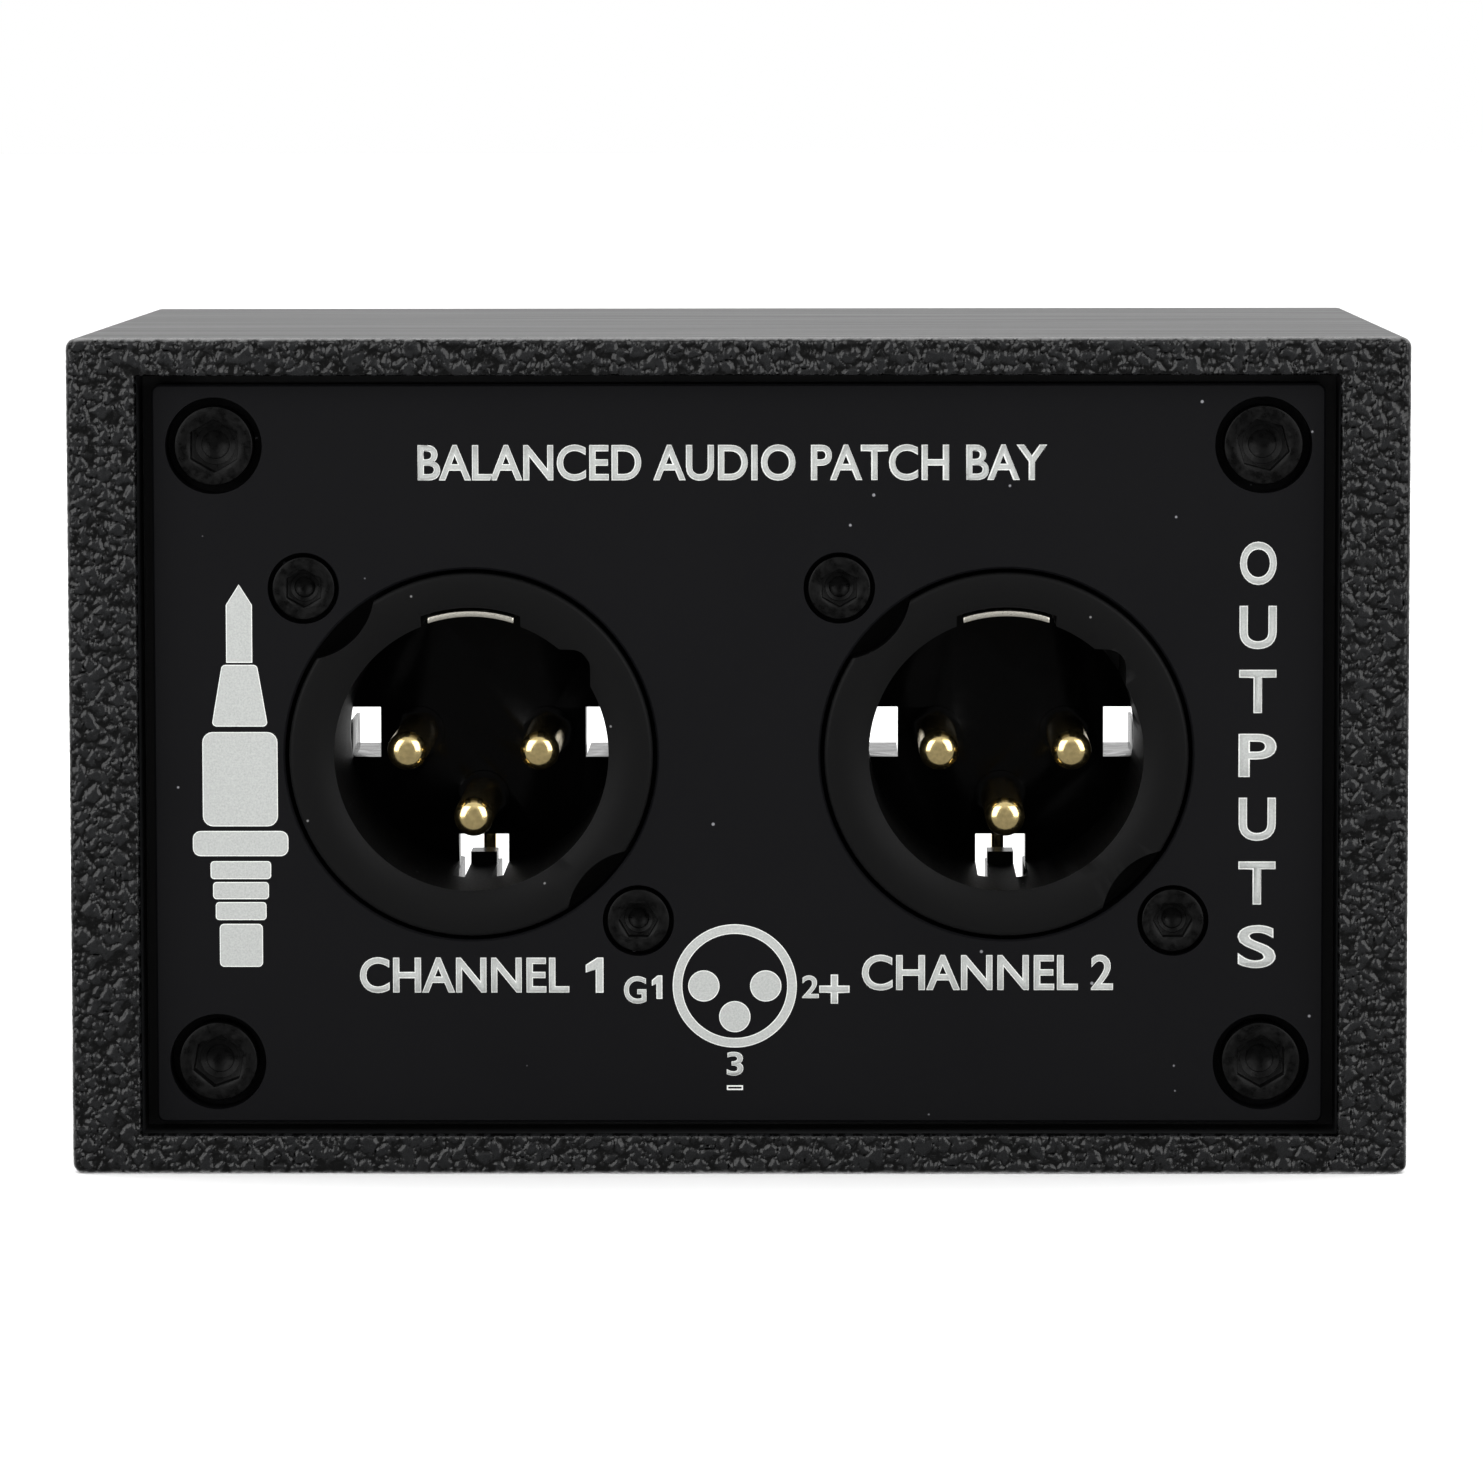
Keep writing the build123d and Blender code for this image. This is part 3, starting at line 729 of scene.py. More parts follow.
def groove_depths(across, up, grain):
    """Depth from 0 to 1 of the curling grooves between pebbles of about this grain."""
    depths = np.empty(len(across))
    for index, place in enumerate(zip(across / grain, up / grain)):
        place = Vector((*place, 0.0))
        bent = place + 0.42 * noise.noise_vector(place * 1.4)
        bent += 0.14 * noise.noise_vector(place * 3.3)
        nearest, second = noise.voronoi(bent)[0][:2]
        width = 0.24 + 0.5 * noise.noise(place * 1.1)
        groove = 1 - min(1.0, (second - nearest) / max(width, 0.03))
        hollow = 0.5 * noise.noise(place * 2.1 + PIT_SHIFT)
        depths[index] = min(1.0, groove + max(0.0, hollow))
    return depths


def textured_rim(settings):
    """The front skin of the housing: a fine mesh whose pits and bumps are real relief."""
    size = HOUSING_HIGH - HOUSING_LOW
    middle_z = (HOUSING_LOW.z + HOUSING_HIGH.z) / 2
    bpy.ops.object.select_all(action="DESELECT")
    bpy.ops.mesh.primitive_grid_add(
        x_subdivisions=round(size.x / settings.rim_cell),
        y_subdivisions=round(size.z / settings.rim_cell),
        size=1, location=(0, FRONT, middle_z), rotation=(math.pi / 2, 0, 0),
    )
    bpy.context.object.scale = (size.x, size.z, 1)
    rim = settle(bpy.context.object, "housing_front_skin")
    centres = np.zeros(len(rim.data.polygons) * 3, np.float32)
    rim.data.polygons.foreach_get("center", centres)
    x, _, z = centres.reshape(-1, 3).T
    inside = (np.abs(x) < OPENING_HALF_WIDTH) & (z > OPENING_BOTTOM) & (z < OPENING_TOP)
    edit_none(rim, "FACE")
    leave_edit()
    rim.data.polygons.foreach_set("select", inside)
    bpy.ops.object.mode_set(mode="EDIT")
    bpy.ops.mesh.delete(type="FACE")
    leave_edit()

    # Round the corners and the edges of the skin
    places = np.zeros(len(rim.data.vertices) * 3, np.float32)
    rim.data.vertices.foreach_get("co", places)
    x, y, z = places.reshape(-1, 3).T.astype(float)
    opening_z = (OPENING_BOTTOM + OPENING_TOP) / 2
    half_open = (OPENING_TOP - OPENING_BOTTOM) / 2
    x, z_up = round_corners(x, z - middle_z, size.x / 2, size.z / 2, HOUSING_CORNER, False)
    z = z_up + middle_z
    depth_in = rounded_distance(x, z - middle_z, size.x / 2, size.z / 2, HOUSING_CORNER)
    near = np.clip(RIM_EDGE - depth_in, 0, RIM_EDGE)
    y = y + RIM_EDGE - np.sqrt(RIM_EDGE**2 - near**2)
    depth_out = -rounded_distance(x, z - opening_z, OPENING_HALF_WIDTH, half_open, 0)
    near = np.clip(OPENING_EDGE - depth_out, 0, OPENING_EDGE)
    y = y + OPENING_EDGE - np.sqrt(OPENING_EDGE**2 - near**2)

    # Relief on the face, always inwards
    grooves = groove_depths(x, z, settings.rim_grain)
    y = y + settings.rim_depth * grooves
    # The groove depth is also kept as an attribute, from which the rim's material paints shade into the
    # grooves.
    shade = rim.data.attributes.new("groove", "FLOAT", "POINT")
    shade.data.foreach_set("value", grooves.astype(np.float32))
    rim.data.vertices.foreach_set("co", np.column_stack((x, y, z)).astype(np.float32).ravel())

    # Draw the open borders back and close the skin behind
    edit_none(rim, "EDGE")
    bpy.ops.mesh.select_non_manifold(extend=False)
    bpy.ops.mesh.extrude_region_move(TRANSFORM_OT_translate={"value": (0, RIM_SKIN, 0)})
    back = FRONT + RIM_SKIN + RIM_EDGE / 2
    bpy.ops.transform.resize(value=(1, 0, 1), center_override=(0, back, middle_z))
    bpy.ops.mesh.bridge_edge_loops()
    bpy.ops.mesh.select_all(action="SELECT")
    bpy.ops.mesh.normals_make_consistent(inside=False)
    leave_edit()

    return rim


class BuildHousing(bpy.types.Operator):
    """Models the printed housing: layered sleeve, bosses and textured front skin"""

    bl_idname = "patch_bay.housing"
    bl_label = "Housing"

    def execute(self, context):
        """Builds the sleeve and the skin, and finishes both."""
        settings = context.scene.patch_bay_housing
        skin_back = FRONT + RIM_SKIN + RIM_EDGE / 2
        layer, groove = settings.layer_height, settings.layer_groove
        sleeve = layered_prism(
            "housing_sleeve", Vector((HOUSING_LOW.x, skin_back, HOUSING_LOW.z)), HOUSING_HIGH,
            HOUSING_CORNER, layer, groove, seed=5, end_rounding=RIM_EDGE,
        )
        past = 1 * MM
        pocket = add_block(
            "pocket", Vector((-OPENING_HALF_WIDTH, FRONT - past, OPENING_BOTTOM)),
            Vector((OPENING_HALF_WIDTH, PANEL_HIGH.y, OPENING_TOP)),
        )
        combine(sleeve, pocket, "DIFFERENCE")
        half_width = OPENING_HALF_WIDTH - LEDGE_WIDTH
        hollow = layered_prism(
            "hollow", Vector((-half_width, PANEL_HIGH.y - past, OPENING_BOTTOM + LEDGE_HEIGHT)),
            Vector((half_width, HOUSING_HIGH.y + past, OPENING_TOP - LEDGE_HEIGHT)),
            OPENING_CORNER, layer, groove, seed=9,
        )
        combine(sleeve, hollow, "DIFFERENCE")
        bosses, bores = [], []
        start = PANEL_HIGH.y + BOSS_STEP
        for x, z in panel_screw_places():
            bosses.append(lathe("boss", x, z, [
                (0, start), (BOSS_RADIUS, start), (BOSS_RADIUS, start + BOSS_LENGTH),
                (BOSS_RADIUS - BOSS_CONE, start + BOSS_LENGTH + BOSS_CONE),
                (0, start + BOSS_LENGTH + BOSS_CONE),
            ]))
            bores.append(add_rod(
                "bore", INSERT_BORE, start - past, start + INSERT_BORE_LENGTH, x, z, sides=64
            ))
        combine(sleeve, join(bosses, "bosses"), "UNION")
        combine(sleeve, join(bores, "bores"), "DIFFERENCE")
        smooth(sleeve, 30)
        finish_piece(sleeve, layer_plastic(settings.colour), "housing_plastic", "housing")
        rim = textured_rim(settings)
        smooth(rim, 60)
        finish_piece(rim, rim_plastic(settings.colour), "housing_plastic", "housing")
        return {"FINISHED"}


# ---------------------------------------------------------------------------------------
# Front panel and its marks
# ---------------------------------------------------------------------------------------

MARK_PROUD = 0.02 * MM
MARK_FILL_PROUD = 0.028 * MM
MARK_SUNK = 0.02 * MM
MARK_STROKE = 0.06 * MM


class BuildPanel(bpy.types.Operator):
    """Finishes the front panel, which keeps its design shape"""

    bl_idname = "patch_bay.panel"
    bl_label = "Front panel"

    def execute(self, context):
        """Gives the panel its anodised finish."""
        finish_node("front_panel", anodised_black(context.scene.patch_bay_panel.colour))
        return {"FINISHED"}


# Words on the panel: text, left and right edge, bottom and top of the capitals, all from
# the panel's middle in millimetres
WORDS = (
    ("BALANCED AUDIO PATCH BAY", -18.9, 18.2, 16.33, 18.35),
    ("CHANNEL", -22.5, -10.15, -14.17, -12.15),
    ("CHANNEL 2", 7.37, 22.17, -14.02, -12.0),
    ("G", -6.8, -5.55, -14.82, -13.27),
    ("2", 3.8, 4.7, -14.5, -13.22),
    ("+", 4.85, 6.5, -14.8, -13.2),
    ("3", -0.68, 0.2, -19.15, -17.8),
)
# Ones, drawn as a bar with a flag: left, right, bottom, top and stroke
ONES = (
    (-9.05, -8.12, -14.15, -12.17, 0.34),
    (-5.12, -4.62, -14.52, -13.24, 0.23),
)
MINUS = (-0.73, 0.23, -20.05, -19.77)
MINUS_LINE = 0.08
SIDE_WORD = "OUTPUTS"
SIDE_WORD_X = 30.75
SIDE_WORD_TOP = 12.56
SIDE_WORD_BOTTOM = -12.67
SIDE_LETTER_HEIGHT = 2.42
SIDE_LETTER_WIDTH = 2.05

# Pin diagram: middle, ring and dots
DIAGRAM_MIDDLE = (-0.25, -13.81)
DIAGRAM_OUTER = 3.63
DIAGRAM_INNER = 3.18
DIAGRAM_DOT = 0.87
DIAGRAM_DOT_PITCH = 1.84

# Plug sign, drawn upright: (half width at the bottom, half width at the top, bottom, top)
SIGN_X = -29.6
SIGN_PARTS = (
    (0.715, 0.715, 5.55, 8.92, 0.0),
    (1.57, 1.03, 1.75, 5.3, 0.2),
    (2.17, 2.17, -4.2, 1.3, 0.55),
    (2.78, 2.78, -5.98, -4.6, 0.4),
    (1.74, 1.74, -7.35, -6.4, 0.15),
    (1.6, 1.6, -8.55, -7.65, 0.15),
    (1.45, 1.45, -9.8, -8.85, 0.15),
    (1.22, 1.22, -12.6, -10.15, 0.2),
)
SIGN_TIP = 10.05


def on_panel(x, z, proud):
    """A point on or just in front of the panel's face, x and z in millimetres."""
    return Vector((PANEL_MIDDLE.x + x * MM, PANEL_FACE - proud, PANEL_MIDDLE.z + z * MM))


def thicken_mark(piece, proud):
    """Gives a flat mark its thickness, so that it is sunk in the panel and just proud of it."""
    if sum(face.normal.y * face.area for face in piece.data.polygons) > 0:
        edit_all(piece)
        bpy.ops.mesh.flip_normals()
        leave_edit()
    change = piece.modifiers.new("thickness", "SOLIDIFY")
    change.thickness = proud + MARK_SUNK
    change.offset = -1.0
    apply_change(piece, change)
    edit_all(piece)
    bpy.ops.mesh.normals_make_consistent(inside=False)
    leave_edit()
    return piece


def mark_word(text, left, right, bottom, top, proud, stroke):
    """One word as a thin plate, fitted to its place. stroke thickens or thins its lines."""
    bpy.ops.object.select_all(action="DESELECT")
    bpy.ops.object.text_add(rotation=(math.pi / 2, 0, 0))
    word = bpy.context.object
    word.data.body = text
    word.data.size = 2.8 * MM
    word.data.resolution_u = 6
    word.data.offset = stroke
    bpy.ops.object.convert(target="MESH")
    settle(word, "mark_word")
    places = np.zeros(len(word.data.vertices) * 3, np.float32)
    word.data.vertices.foreach_get("co", places)
    places = places.reshape(-1, 3)
    low, high = places.min(0) + stroke, places.max(0) - stroke
    start, end = on_panel(left, bottom, proud), on_panel(right, top, proud)
    for axis in (0, 2):
        share = (places[:, axis] - low[axis]) / (high[axis] - low[axis])
        places[:, axis] = start[axis] + share * (end[axis] - start[axis])
    places[:, 1] = PANEL_FACE - proud
    word.data.vertices.foreach_set("co", places.ravel())
    edit_all(word)
    bpy.ops.mesh.remove_doubles(threshold=0.008 * MM)
    leave_edit()
    return thicken_mark(word, proud)


def mark_shape(points, proud):
    """A flat shape with the given outline in millimetres from the panel's middle."""
    outline = [on_panel(x, z, proud) for x, z in points]
    return thicken_mark(trace("mark_shape", outline, closed=True), proud)


def mark_ring(inner, outer, proud):
    """The pin diagram's ring."""
    middle = on_panel(*DIAGRAM_MIDDLE, proud)
    near, far = PANEL_FACE - proud, PANEL_FACE + MARK_SUNK
    return lathe("mark_ring", middle.x, middle.z, ring_outline(inner * MM, outer * MM, near, far))


def mark_frame(left, right, bottom, top, line, proud):
    """A thin rectangular frame."""
    corners = [(left, bottom), (right, bottom), (right, top), (left, top)]
    piece = trace("mark_frame", [on_panel(x, z, proud) for x, z in corners], closed=True)
    edit_all(piece)
    bpy.ops.mesh.inset(thickness=line * MM, depth=0)
    bpy.ops.mesh.delete(type="FACE")
    leave_edit()
    return thicken_mark(piece, proud)


def one_outline(left, right, bottom, top, stroke, grow):
    """Outline of a figure one: a bar with a flag."""
    height = top - bottom
    left, right, bottom, top = left - grow, right + grow, bottom - grow, top + grow
    stroke += 2 * grow
    return [
        (right - stroke, bottom), (right, bottom), (right, top), (right - stroke * 0.8, top),
        (left, top - height * 0.22), (left, top - height * 0.22 - stroke),
        (right - stroke, top - height * 0.26 - stroke * 0.4),
    ]


def sign_outline(half_bottom, half_top, bottom, top, corner, grow):
    """Outline of one part of the plug sign, with rounded corners."""
    half_bottom, half_top = half_bottom + grow, half_top + grow
    bottom, top, corner = bottom - grow, top + grow, corner + grow
    points = []
    for side, half, level, start in (
        (1, half_bottom, bottom, -90), (1, half_top, top, 0),
        (-1, half_top, top, 90), (-1, half_bottom, bottom, 180),
    ):
        inner_x = SIGN_X + side * (half - corner)
        inner_z = level + (corner if level == bottom else -corner)
        for turn in range(0, 91, 18):
            angle = math.radians(start + turn)
            points.append((inner_x + corner * math.cos(angle), inner_z + corner * math.sin(angle)))
    return points


def all_marks(name, proud, stroke):
    """Every mark on the panel as one piece. stroke is how far each outline is moved out."""
    grow = stroke / MM
    marks = [mark_word(*word, proud, stroke) for word in WORDS]
    letter_step = (SIDE_WORD_TOP - SIDE_LETTER_HEIGHT - SIDE_WORD_BOTTOM) / (len(SIDE_WORD) - 1)
    for index, letter in enumerate(SIDE_WORD):
        top = SIDE_WORD_TOP - index * letter_step
        half = SIDE_LETTER_WIDTH / 2
        marks.append(mark_word(
            letter, SIDE_WORD_X - half, SIDE_WORD_X + half, top - SIDE_LETTER_HEIGHT, top,
            proud, stroke,
        ))
    marks.append(mark_ring(DIAGRAM_INNER - grow, DIAGRAM_OUTER + grow, proud))
    for x, z in ((-DIAGRAM_DOT_PITCH, 0), (DIAGRAM_DOT_PITCH, 0), (0, -DIAGRAM_DOT_PITCH)):
        middle = on_panel(DIAGRAM_MIDDLE[0] + x, DIAGRAM_MIDDLE[1] + z, proud)
        marks.append(add_rod(
            "mark_dot", (DIAGRAM_DOT + grow) * MM, middle.y, PANEL_FACE + MARK_SUNK,
            middle.x, middle.z, sides=64,
        ))
    for left, right, bottom, top, stroke_width in ONES:
        outline = one_outline(left, right, bottom, top, stroke_width, grow)
        marks.append(mark_shape(outline, proud))
    for half_bottom, half_top, bottom, top, corner in SIGN_PARTS[1:]:
        outline = sign_outline(half_bottom, half_top, bottom, top, corner, grow)
        marks.append(mark_shape(outline, proud))
    half, _, foot, shoulder, _ = SIGN_PARTS[0]
    half += grow
    marks.append(mark_shape([
        (SIGN_X - half, foot - grow), (SIGN_X + half, foot - grow), (SIGN_X + half, shoulder),
        (SIGN_X, SIGN_TIP + 1.5 * grow), (SIGN_X - half, shoulder),
    ], proud))
    return join(marks, name)


class BuildMarks(bpy.types.Operator):
    """Models the etched words, pin diagram and plug sign on the panel"""

    bl_idname = "patch_bay.marks"
    bl_label = "Panel marks"

    def execute(self, context):
        """Builds the bright edges and the darker fill of every mark."""
        settings = context.scene.patch_bay_panel
        edges = all_marks("panel_mark_edges", MARK_PROUD, MARK_STROKE)
        minus = mark_frame(*MINUS, MINUS_LINE, MARK_PROUD)
        edges = join([edges, minus], "panel_mark_edges")
        finish_piece(edges, etched_mark("mark_edges", settings.edge_colour), "panel_legend")
        fill = all_marks("panel_marks", MARK_FILL_PROUD, MARK_STROKE - settings.mark_edge)
        finish_piece(fill, etched_mark("mark_fill", settings.mark_colour), "panel_legend")
        return {"FINISHED"}


# ---------------------------------------------------------------------------------------
# Screws
# ---------------------------------------------------------------------------------------

PANEL_HEAD_RADIUS = 2.32 * MM
SOCKET_HEAD_RADIUS = 1.85 * MM
PANEL_HEX_TURNS = (10, 0, 0, -15)
SOCKET_HEX_TURNS = (0, 30)
HEXAGON_DEPTH = 0.6
THREAD_PITCH = 0.7 * MM


def corners_in(node, radius):
    """The four corner places of a node's parts, whose outer radius is known."""
    low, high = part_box(node)
    return [
        (x, z)
        for x in (low.x + radius, high.x - radius)
        for z in (low.z + radius, high.z - radius)
    ]


def panel_screw_places():
    """Middles of the four panel screws."""
    return corners_in("panel_screws", PANEL_HEAD_RADIUS)


def socket_screw_places(channel):
    """Middles of a socket's two screws, at its upper left and lower right."""
    places = corners_in(f"socket_{channel}_screws", SOCKET_HEAD_RADIUS)
    return [places[1], places[2]]


def cap_screw(name, node, radius, head, shank, hexagon):
    """A socket-head screw along Y, standing at X = Z = 0: a chamfered head, a dished hexagon
    with a drilled bottom, and a thread."""
    low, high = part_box(node)
    top, end = low.y, high.y
    under = top + head
    edge = 0.1 * MM
    dish = 0.15 * MM
    ridge = 0.11 * MM
    thread = []
    turns = int((end - under - 1.2 * MM) / THREAD_PITCH)
    for index in range(turns):
        start = under + 0.5 * MM + index * THREAD_PITCH
        thread += [(shank, start), (shank - ridge, start + THREAD_PITCH / 2)]
    screw = lathe(name, 0, 0, [
        (0, top + dish), (hexagon * 0.47, top + dish), (hexagon * 0.6, top),
        (radius - edge, top), (radius - edge * 0.3, top + edge * 0.3),
        (radius, top + edge), (radius, under - edge / 2), (radius - edge / 2, under),
        (shank, under), *thread, (shank, end - 0.3 * MM), (shank - 0.25 * MM, end), (0, end),
    ], steps=72)
    bpy.ops.object.select_all(action="DESELECT")
    depth = head * HEXAGON_DEPTH
    bpy.ops.mesh.primitive_cylinder_add(
        vertices=6, radius=hexagon / math.sqrt(3), depth=2 * depth, location=(0, top, 0),
        rotation=(math.pi / 2, 0, 0),
    )
    combine(screw, settle(bpy.context.object, "key"), "DIFFERENCE")
    bottom = top + depth
    drill_radius = hexagon * 0.43
    combine(screw, lathe("drill", 0, 0, [
        (0, top - 0.2 * MM), (drill_radius, top - 0.2 * MM), (drill_radius, bottom + 0.08 * MM),
        (drill_radius * 0.7, bottom + 0.14 * MM), (drill_radius * 0.7, bottom + 0.2 * MM),
        (0, bottom + 0.45 * MM),
    ], steps=47), "DIFFERENCE")
    soften(screw, 0.03 * MM, segments=2, angle=58)
    return smooth(screw, 38)


def place_screws(screw, group, places, turns):
    """Copies of a screw at its places, each turned a little differently, as one piece."""
    copies = []
    for (x, z), turn in zip(places, turns):
        twin = copy_shifted(screw, "screw", Vector((0, 0, 0)))
        twin.data.transform(
            Matrix.Translation((x, 0, z)) @ Matrix.Rotation(math.radians(turn), 4, "Y")
        )
        copies.append(twin)
    return join(copies, group)


class BuildScrews(bpy.types.Operator):
    """Models the panel screws and the sockets' screws"""

    bl_idname = "patch_bay.screws"
    bl_label = "Screws"

    def execute(self, context):
        """Builds one screw of each size and copies it to its places."""
        material = black_oxide()
        screw = cap_screw(
            "panel_screw", "panel_screws", PANEL_HEAD_RADIUS, 2.2 * MM, 1.42 * MM, 2.75 * MM
        )
        group = place_screws(
            screw, "panel_cap_screws", panel_screw_places(), PANEL_HEX_TURNS
        )
        finish_piece(group, material, "screw_black", "panel_screws")
        bpy.data.objects.remove(screw, do_unlink=True)
        screw = cap_screw(
            "socket_screw", "socket_1_screws", SOCKET_HEAD_RADIUS, 1.8 * MM, 1.22 * MM, 2.0 * MM
        )
        for channel in CHANNELS:
            group = place_screws(
                screw, f"socket_{channel}_cap_screws", socket_screw_places(channel),
                SOCKET_HEX_TURNS,
            )
            finish_piece(group, material, "screw_black", f"socket_{channel}_screws")
        bpy.data.objects.remove(screw, do_unlink=True)
        return {"FINISHED"}


# ---------------------------------------------------------------------------------------
# Sockets
# ---------------------------------------------------------------------------------------

RING_RADIUS = 10.8 * MM
BORE_RADIUS = 8.15 * MM
LEAD_IN = 0.95 * MM
LEAD_IN_LENGTH = 0.5 * MM
FLANGE_HALF = 13.0 * MM
FLANGE_CORNER = 3.0 * MM
FLANGE_THICKNESS = 2.4 * MM
BARREL_RADIUS = 10.0 * MM
CARRIER_BORE = 8.65 * MM
CARRIER_THICKNESS = 2.5 * MM
SCALLOP_RADIUS = 4.24 * MM
KEYWAY_RIGHT = 7.08 * MM
KEYWAY_TOP = 6.25 * MM
KEYWAY_SIZE = 3.4 * MM
KEYWAY_CORNER = 1.1 * MM
KEYWAY_LENGTH = 10.55 * MM
GROUND_SLOT_WIDTH = 5.9 * MM
GROUND_SLOT_REACH = 8.75 * MM
TONGUE_ROOT = 9.3 * MM
TONGUE_CUT_INNER = 8.0 * MM
TONGUE_CUT_OUTER = 10.6 * MM
WINDOW_WIDTH = 3.07 * MM
TAB_WIDTH = 1.6 * MM
TAB_INNER = 7.4 * MM
TOOTH_ANGLES = (135, 225, 315)
TOOTH_INNER = 8.25 * MM
TOOTH_WIDTH = 2.0 * MM
TOOTH_LENGTH = 0.8 * MM
CONTACT_RADIUS = 1.18 * MM
CONTACT_NECK_RADIUS = 0.98 * MM
CONTACT_BODY_RADIUS = 1.4 * MM
COLLAR_HEIGHT = 0.4 * MM


def carrier_depths():
    """Where the carrier's disc starts and ends, front to back."""
    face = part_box("socket_1_contact_carrier")[0].y + COLLAR_HEIGHT
    return face, face + CARRIER_THICKNESS


def shell_body(channel):
    """Ring, flange and barrel of one socket, with its scallops, keyway, slot and tongue."""
    middle = SOCKET_MIDDLE[channel]
    face, back = RING_FACE, PANEL_HIGH.y
    carrier_face, carrier_back = carrier_depths()
    middle_up = Vector((middle.x, 0, middle.z))
    past = 1 * MM
    rounding = 0.25 * MM
    ring_edge = [
        (RING_RADIUS - rounding * (1 - math.sin(angle)), face + rounding * (1 - math.cos(angle)))
        for angle in (0, math.pi / 8, math.pi / 4, math.pi * 3 / 8, math.pi / 2)
    ]
    shell = lathe(f"socket_{channel}_shell_body", middle.x, middle.z, [
        (BORE_RADIUS + LEAD_IN, face), *ring_edge, (RING_RADIUS, back), (BARREL_RADIUS, back),
        (BARREL_RADIUS, BARREL_END), (CARRIER_BORE, BARREL_END), (CARRIER_BORE, carrier_face),
        (BORE_RADIUS, carrier_face), (BORE_RADIUS, face + LEAD_IN_LENGTH),
        (BORE_RADIUS + LEAD_IN, face),
    ], steps=128)
    flange = add_block(
        "flange", Vector((middle.x - FLANGE_HALF, back, middle.z - FLANGE_HALF)),
        Vector((middle.x + FLANGE_HALF, back + FLANGE_THICKNESS, middle.z + FLANGE_HALF)),
    )
    select_edges(flange, lambda start, end: abs(start.y - end.y) > past)
    bpy.ops.object.mode_set(mode="EDIT")
    bpy.ops.mesh.bevel(offset=FLANGE_CORNER, segments=8)
    leave_edit()
    combine(flange, add_rod("hole", 9.2 * MM, back - past, back + 4 * MM, middle.x, middle.z), "DIFFERENCE")
    combine(shell, flange, "UNION")
    for x, z in socket_screw_places(channel):
        scallop = add_rod("scallop", SCALLOP_RADIUS, face - past, back, x, z)
        combine(shell, scallop, "DIFFERENCE")
        combine(shell, add_rod("hole", 1.3 * MM, back - past, back + 4 * MM, x, z), "DIFFERENCE")
    keyway = add_block(
        "keyway",
        middle_up + Vector((KEYWAY_RIGHT - KEYWAY_SIZE, face - past, KEYWAY_TOP - KEYWAY_SIZE)),
        middle_up + Vector((KEYWAY_RIGHT, face + KEYWAY_LENGTH, KEYWAY_TOP)),
    )
    select_edges(keyway, lambda start, end: abs(start.y - end.y) > past)
    bpy.ops.object.mode_set(mode="EDIT")
    bpy.ops.mesh.bevel(offset=KEYWAY_CORNER, segments=8)
    leave_edit()
    combine(shell, keyway, "DIFFERENCE")
    half = GROUND_SLOT_WIDTH / 2
    slot = add_rod("slot", GROUND_SLOT_REACH, face - past, BARREL_END + past, middle.x, middle.z)
    keep = add_block(
        "keep", Vector((middle.x - half, face - past, middle.z + BORE_RADIUS / 2)),
        Vector((middle.x + half, BARREL_END + past, middle.z + 2 * BORE_RADIUS)),
    )
    combine(slot, keep, "INTERSECT")
    combine(shell, slot, "DIFFERENCE")
    cut_start = FRONT + TONGUE_ROOT
    for side in (-1, 1):
        near, far = sorted((side * TAB_WIDTH / 2, side * WINDOW_WIDTH / 2))
        combine(shell, add_block(
            "tongue_cut", middle_up + Vector((near, cut_start, -TONGUE_CUT_OUTER)),
            middle_up + Vector((far, BARREL_END + past, -TONGUE_CUT_INNER)),
        ), "DIFFERENCE")
    sunk = 0.15 * MM
    extras = [add_block(
        "tab",
        Vector((middle.x - TAB_WIDTH / 2, carrier_face, middle.z - CARRIER_BORE - sunk)),
        Vector((middle.x + TAB_WIDTH / 2, carrier_back, middle.z - TAB_INNER)),
    )]
    for angle in TOOTH_ANGLES:
        tooth = add_block(
            "tooth", Vector((TOOTH_INNER, carrier_back, -TOOTH_WIDTH / 2)),
            Vector((CARRIER_BORE + sunk, carrier_back + TOOTH_LENGTH, TOOTH_WIDTH / 2)),
        )
        turn = Matrix.Rotation(math.radians(-angle), 4, "Y")
        tooth.data.transform(Matrix.Translation((middle.x, 0, middle.z)) @ turn)
        extras.append(tooth)
    combine(shell, join(extras, "extras"), "UNION")
    soften(shell, 0.08 * MM, segments=2, angle=32)
    return smooth(shell, 32)


class BuildShells(bpy.types.Operator):
    """Models the two sockets' shells"""

    bl_idname = "patch_bay.shells"
    bl_label = "Socket shells"

    def execute(self, context):
        """Builds one shell and copies it to the other socket."""
        material = satin_shell(context.scene.patch_bay_sockets.shell_colour)
        first = shell_body(1)
        second = copy_shifted(first, "socket_2_shell_body", SOCKET_MIDDLE[2] - SOCKET_MIDDLE[1])
        for channel, shell in zip(CHANNELS, (first, second)):
            finish_piece(shell, material, "shell_plastic", f"socket_{channel}_shell")
        return {"FINISHED"}


class BuildCarriers(bpy.types.Operator):
    """Finishes the contact carriers"""

    bl_idname = "patch_bay.carriers"
    bl_label = "Contact carriers"

    def execute(self, context):
        """Gives softened copies of the design carriers their gloss."""
        material = gloss_carrier()
        for channel in CHANNELS:
            node = f"socket_{channel}_contact_carrier"
            carrier = softened_copy(node, f"socket_{channel}_carrier_moulding", 0.06 * MM)
            finish_piece(carrier, material, "carrier_plastic", node)
        return {"FINISHED"}


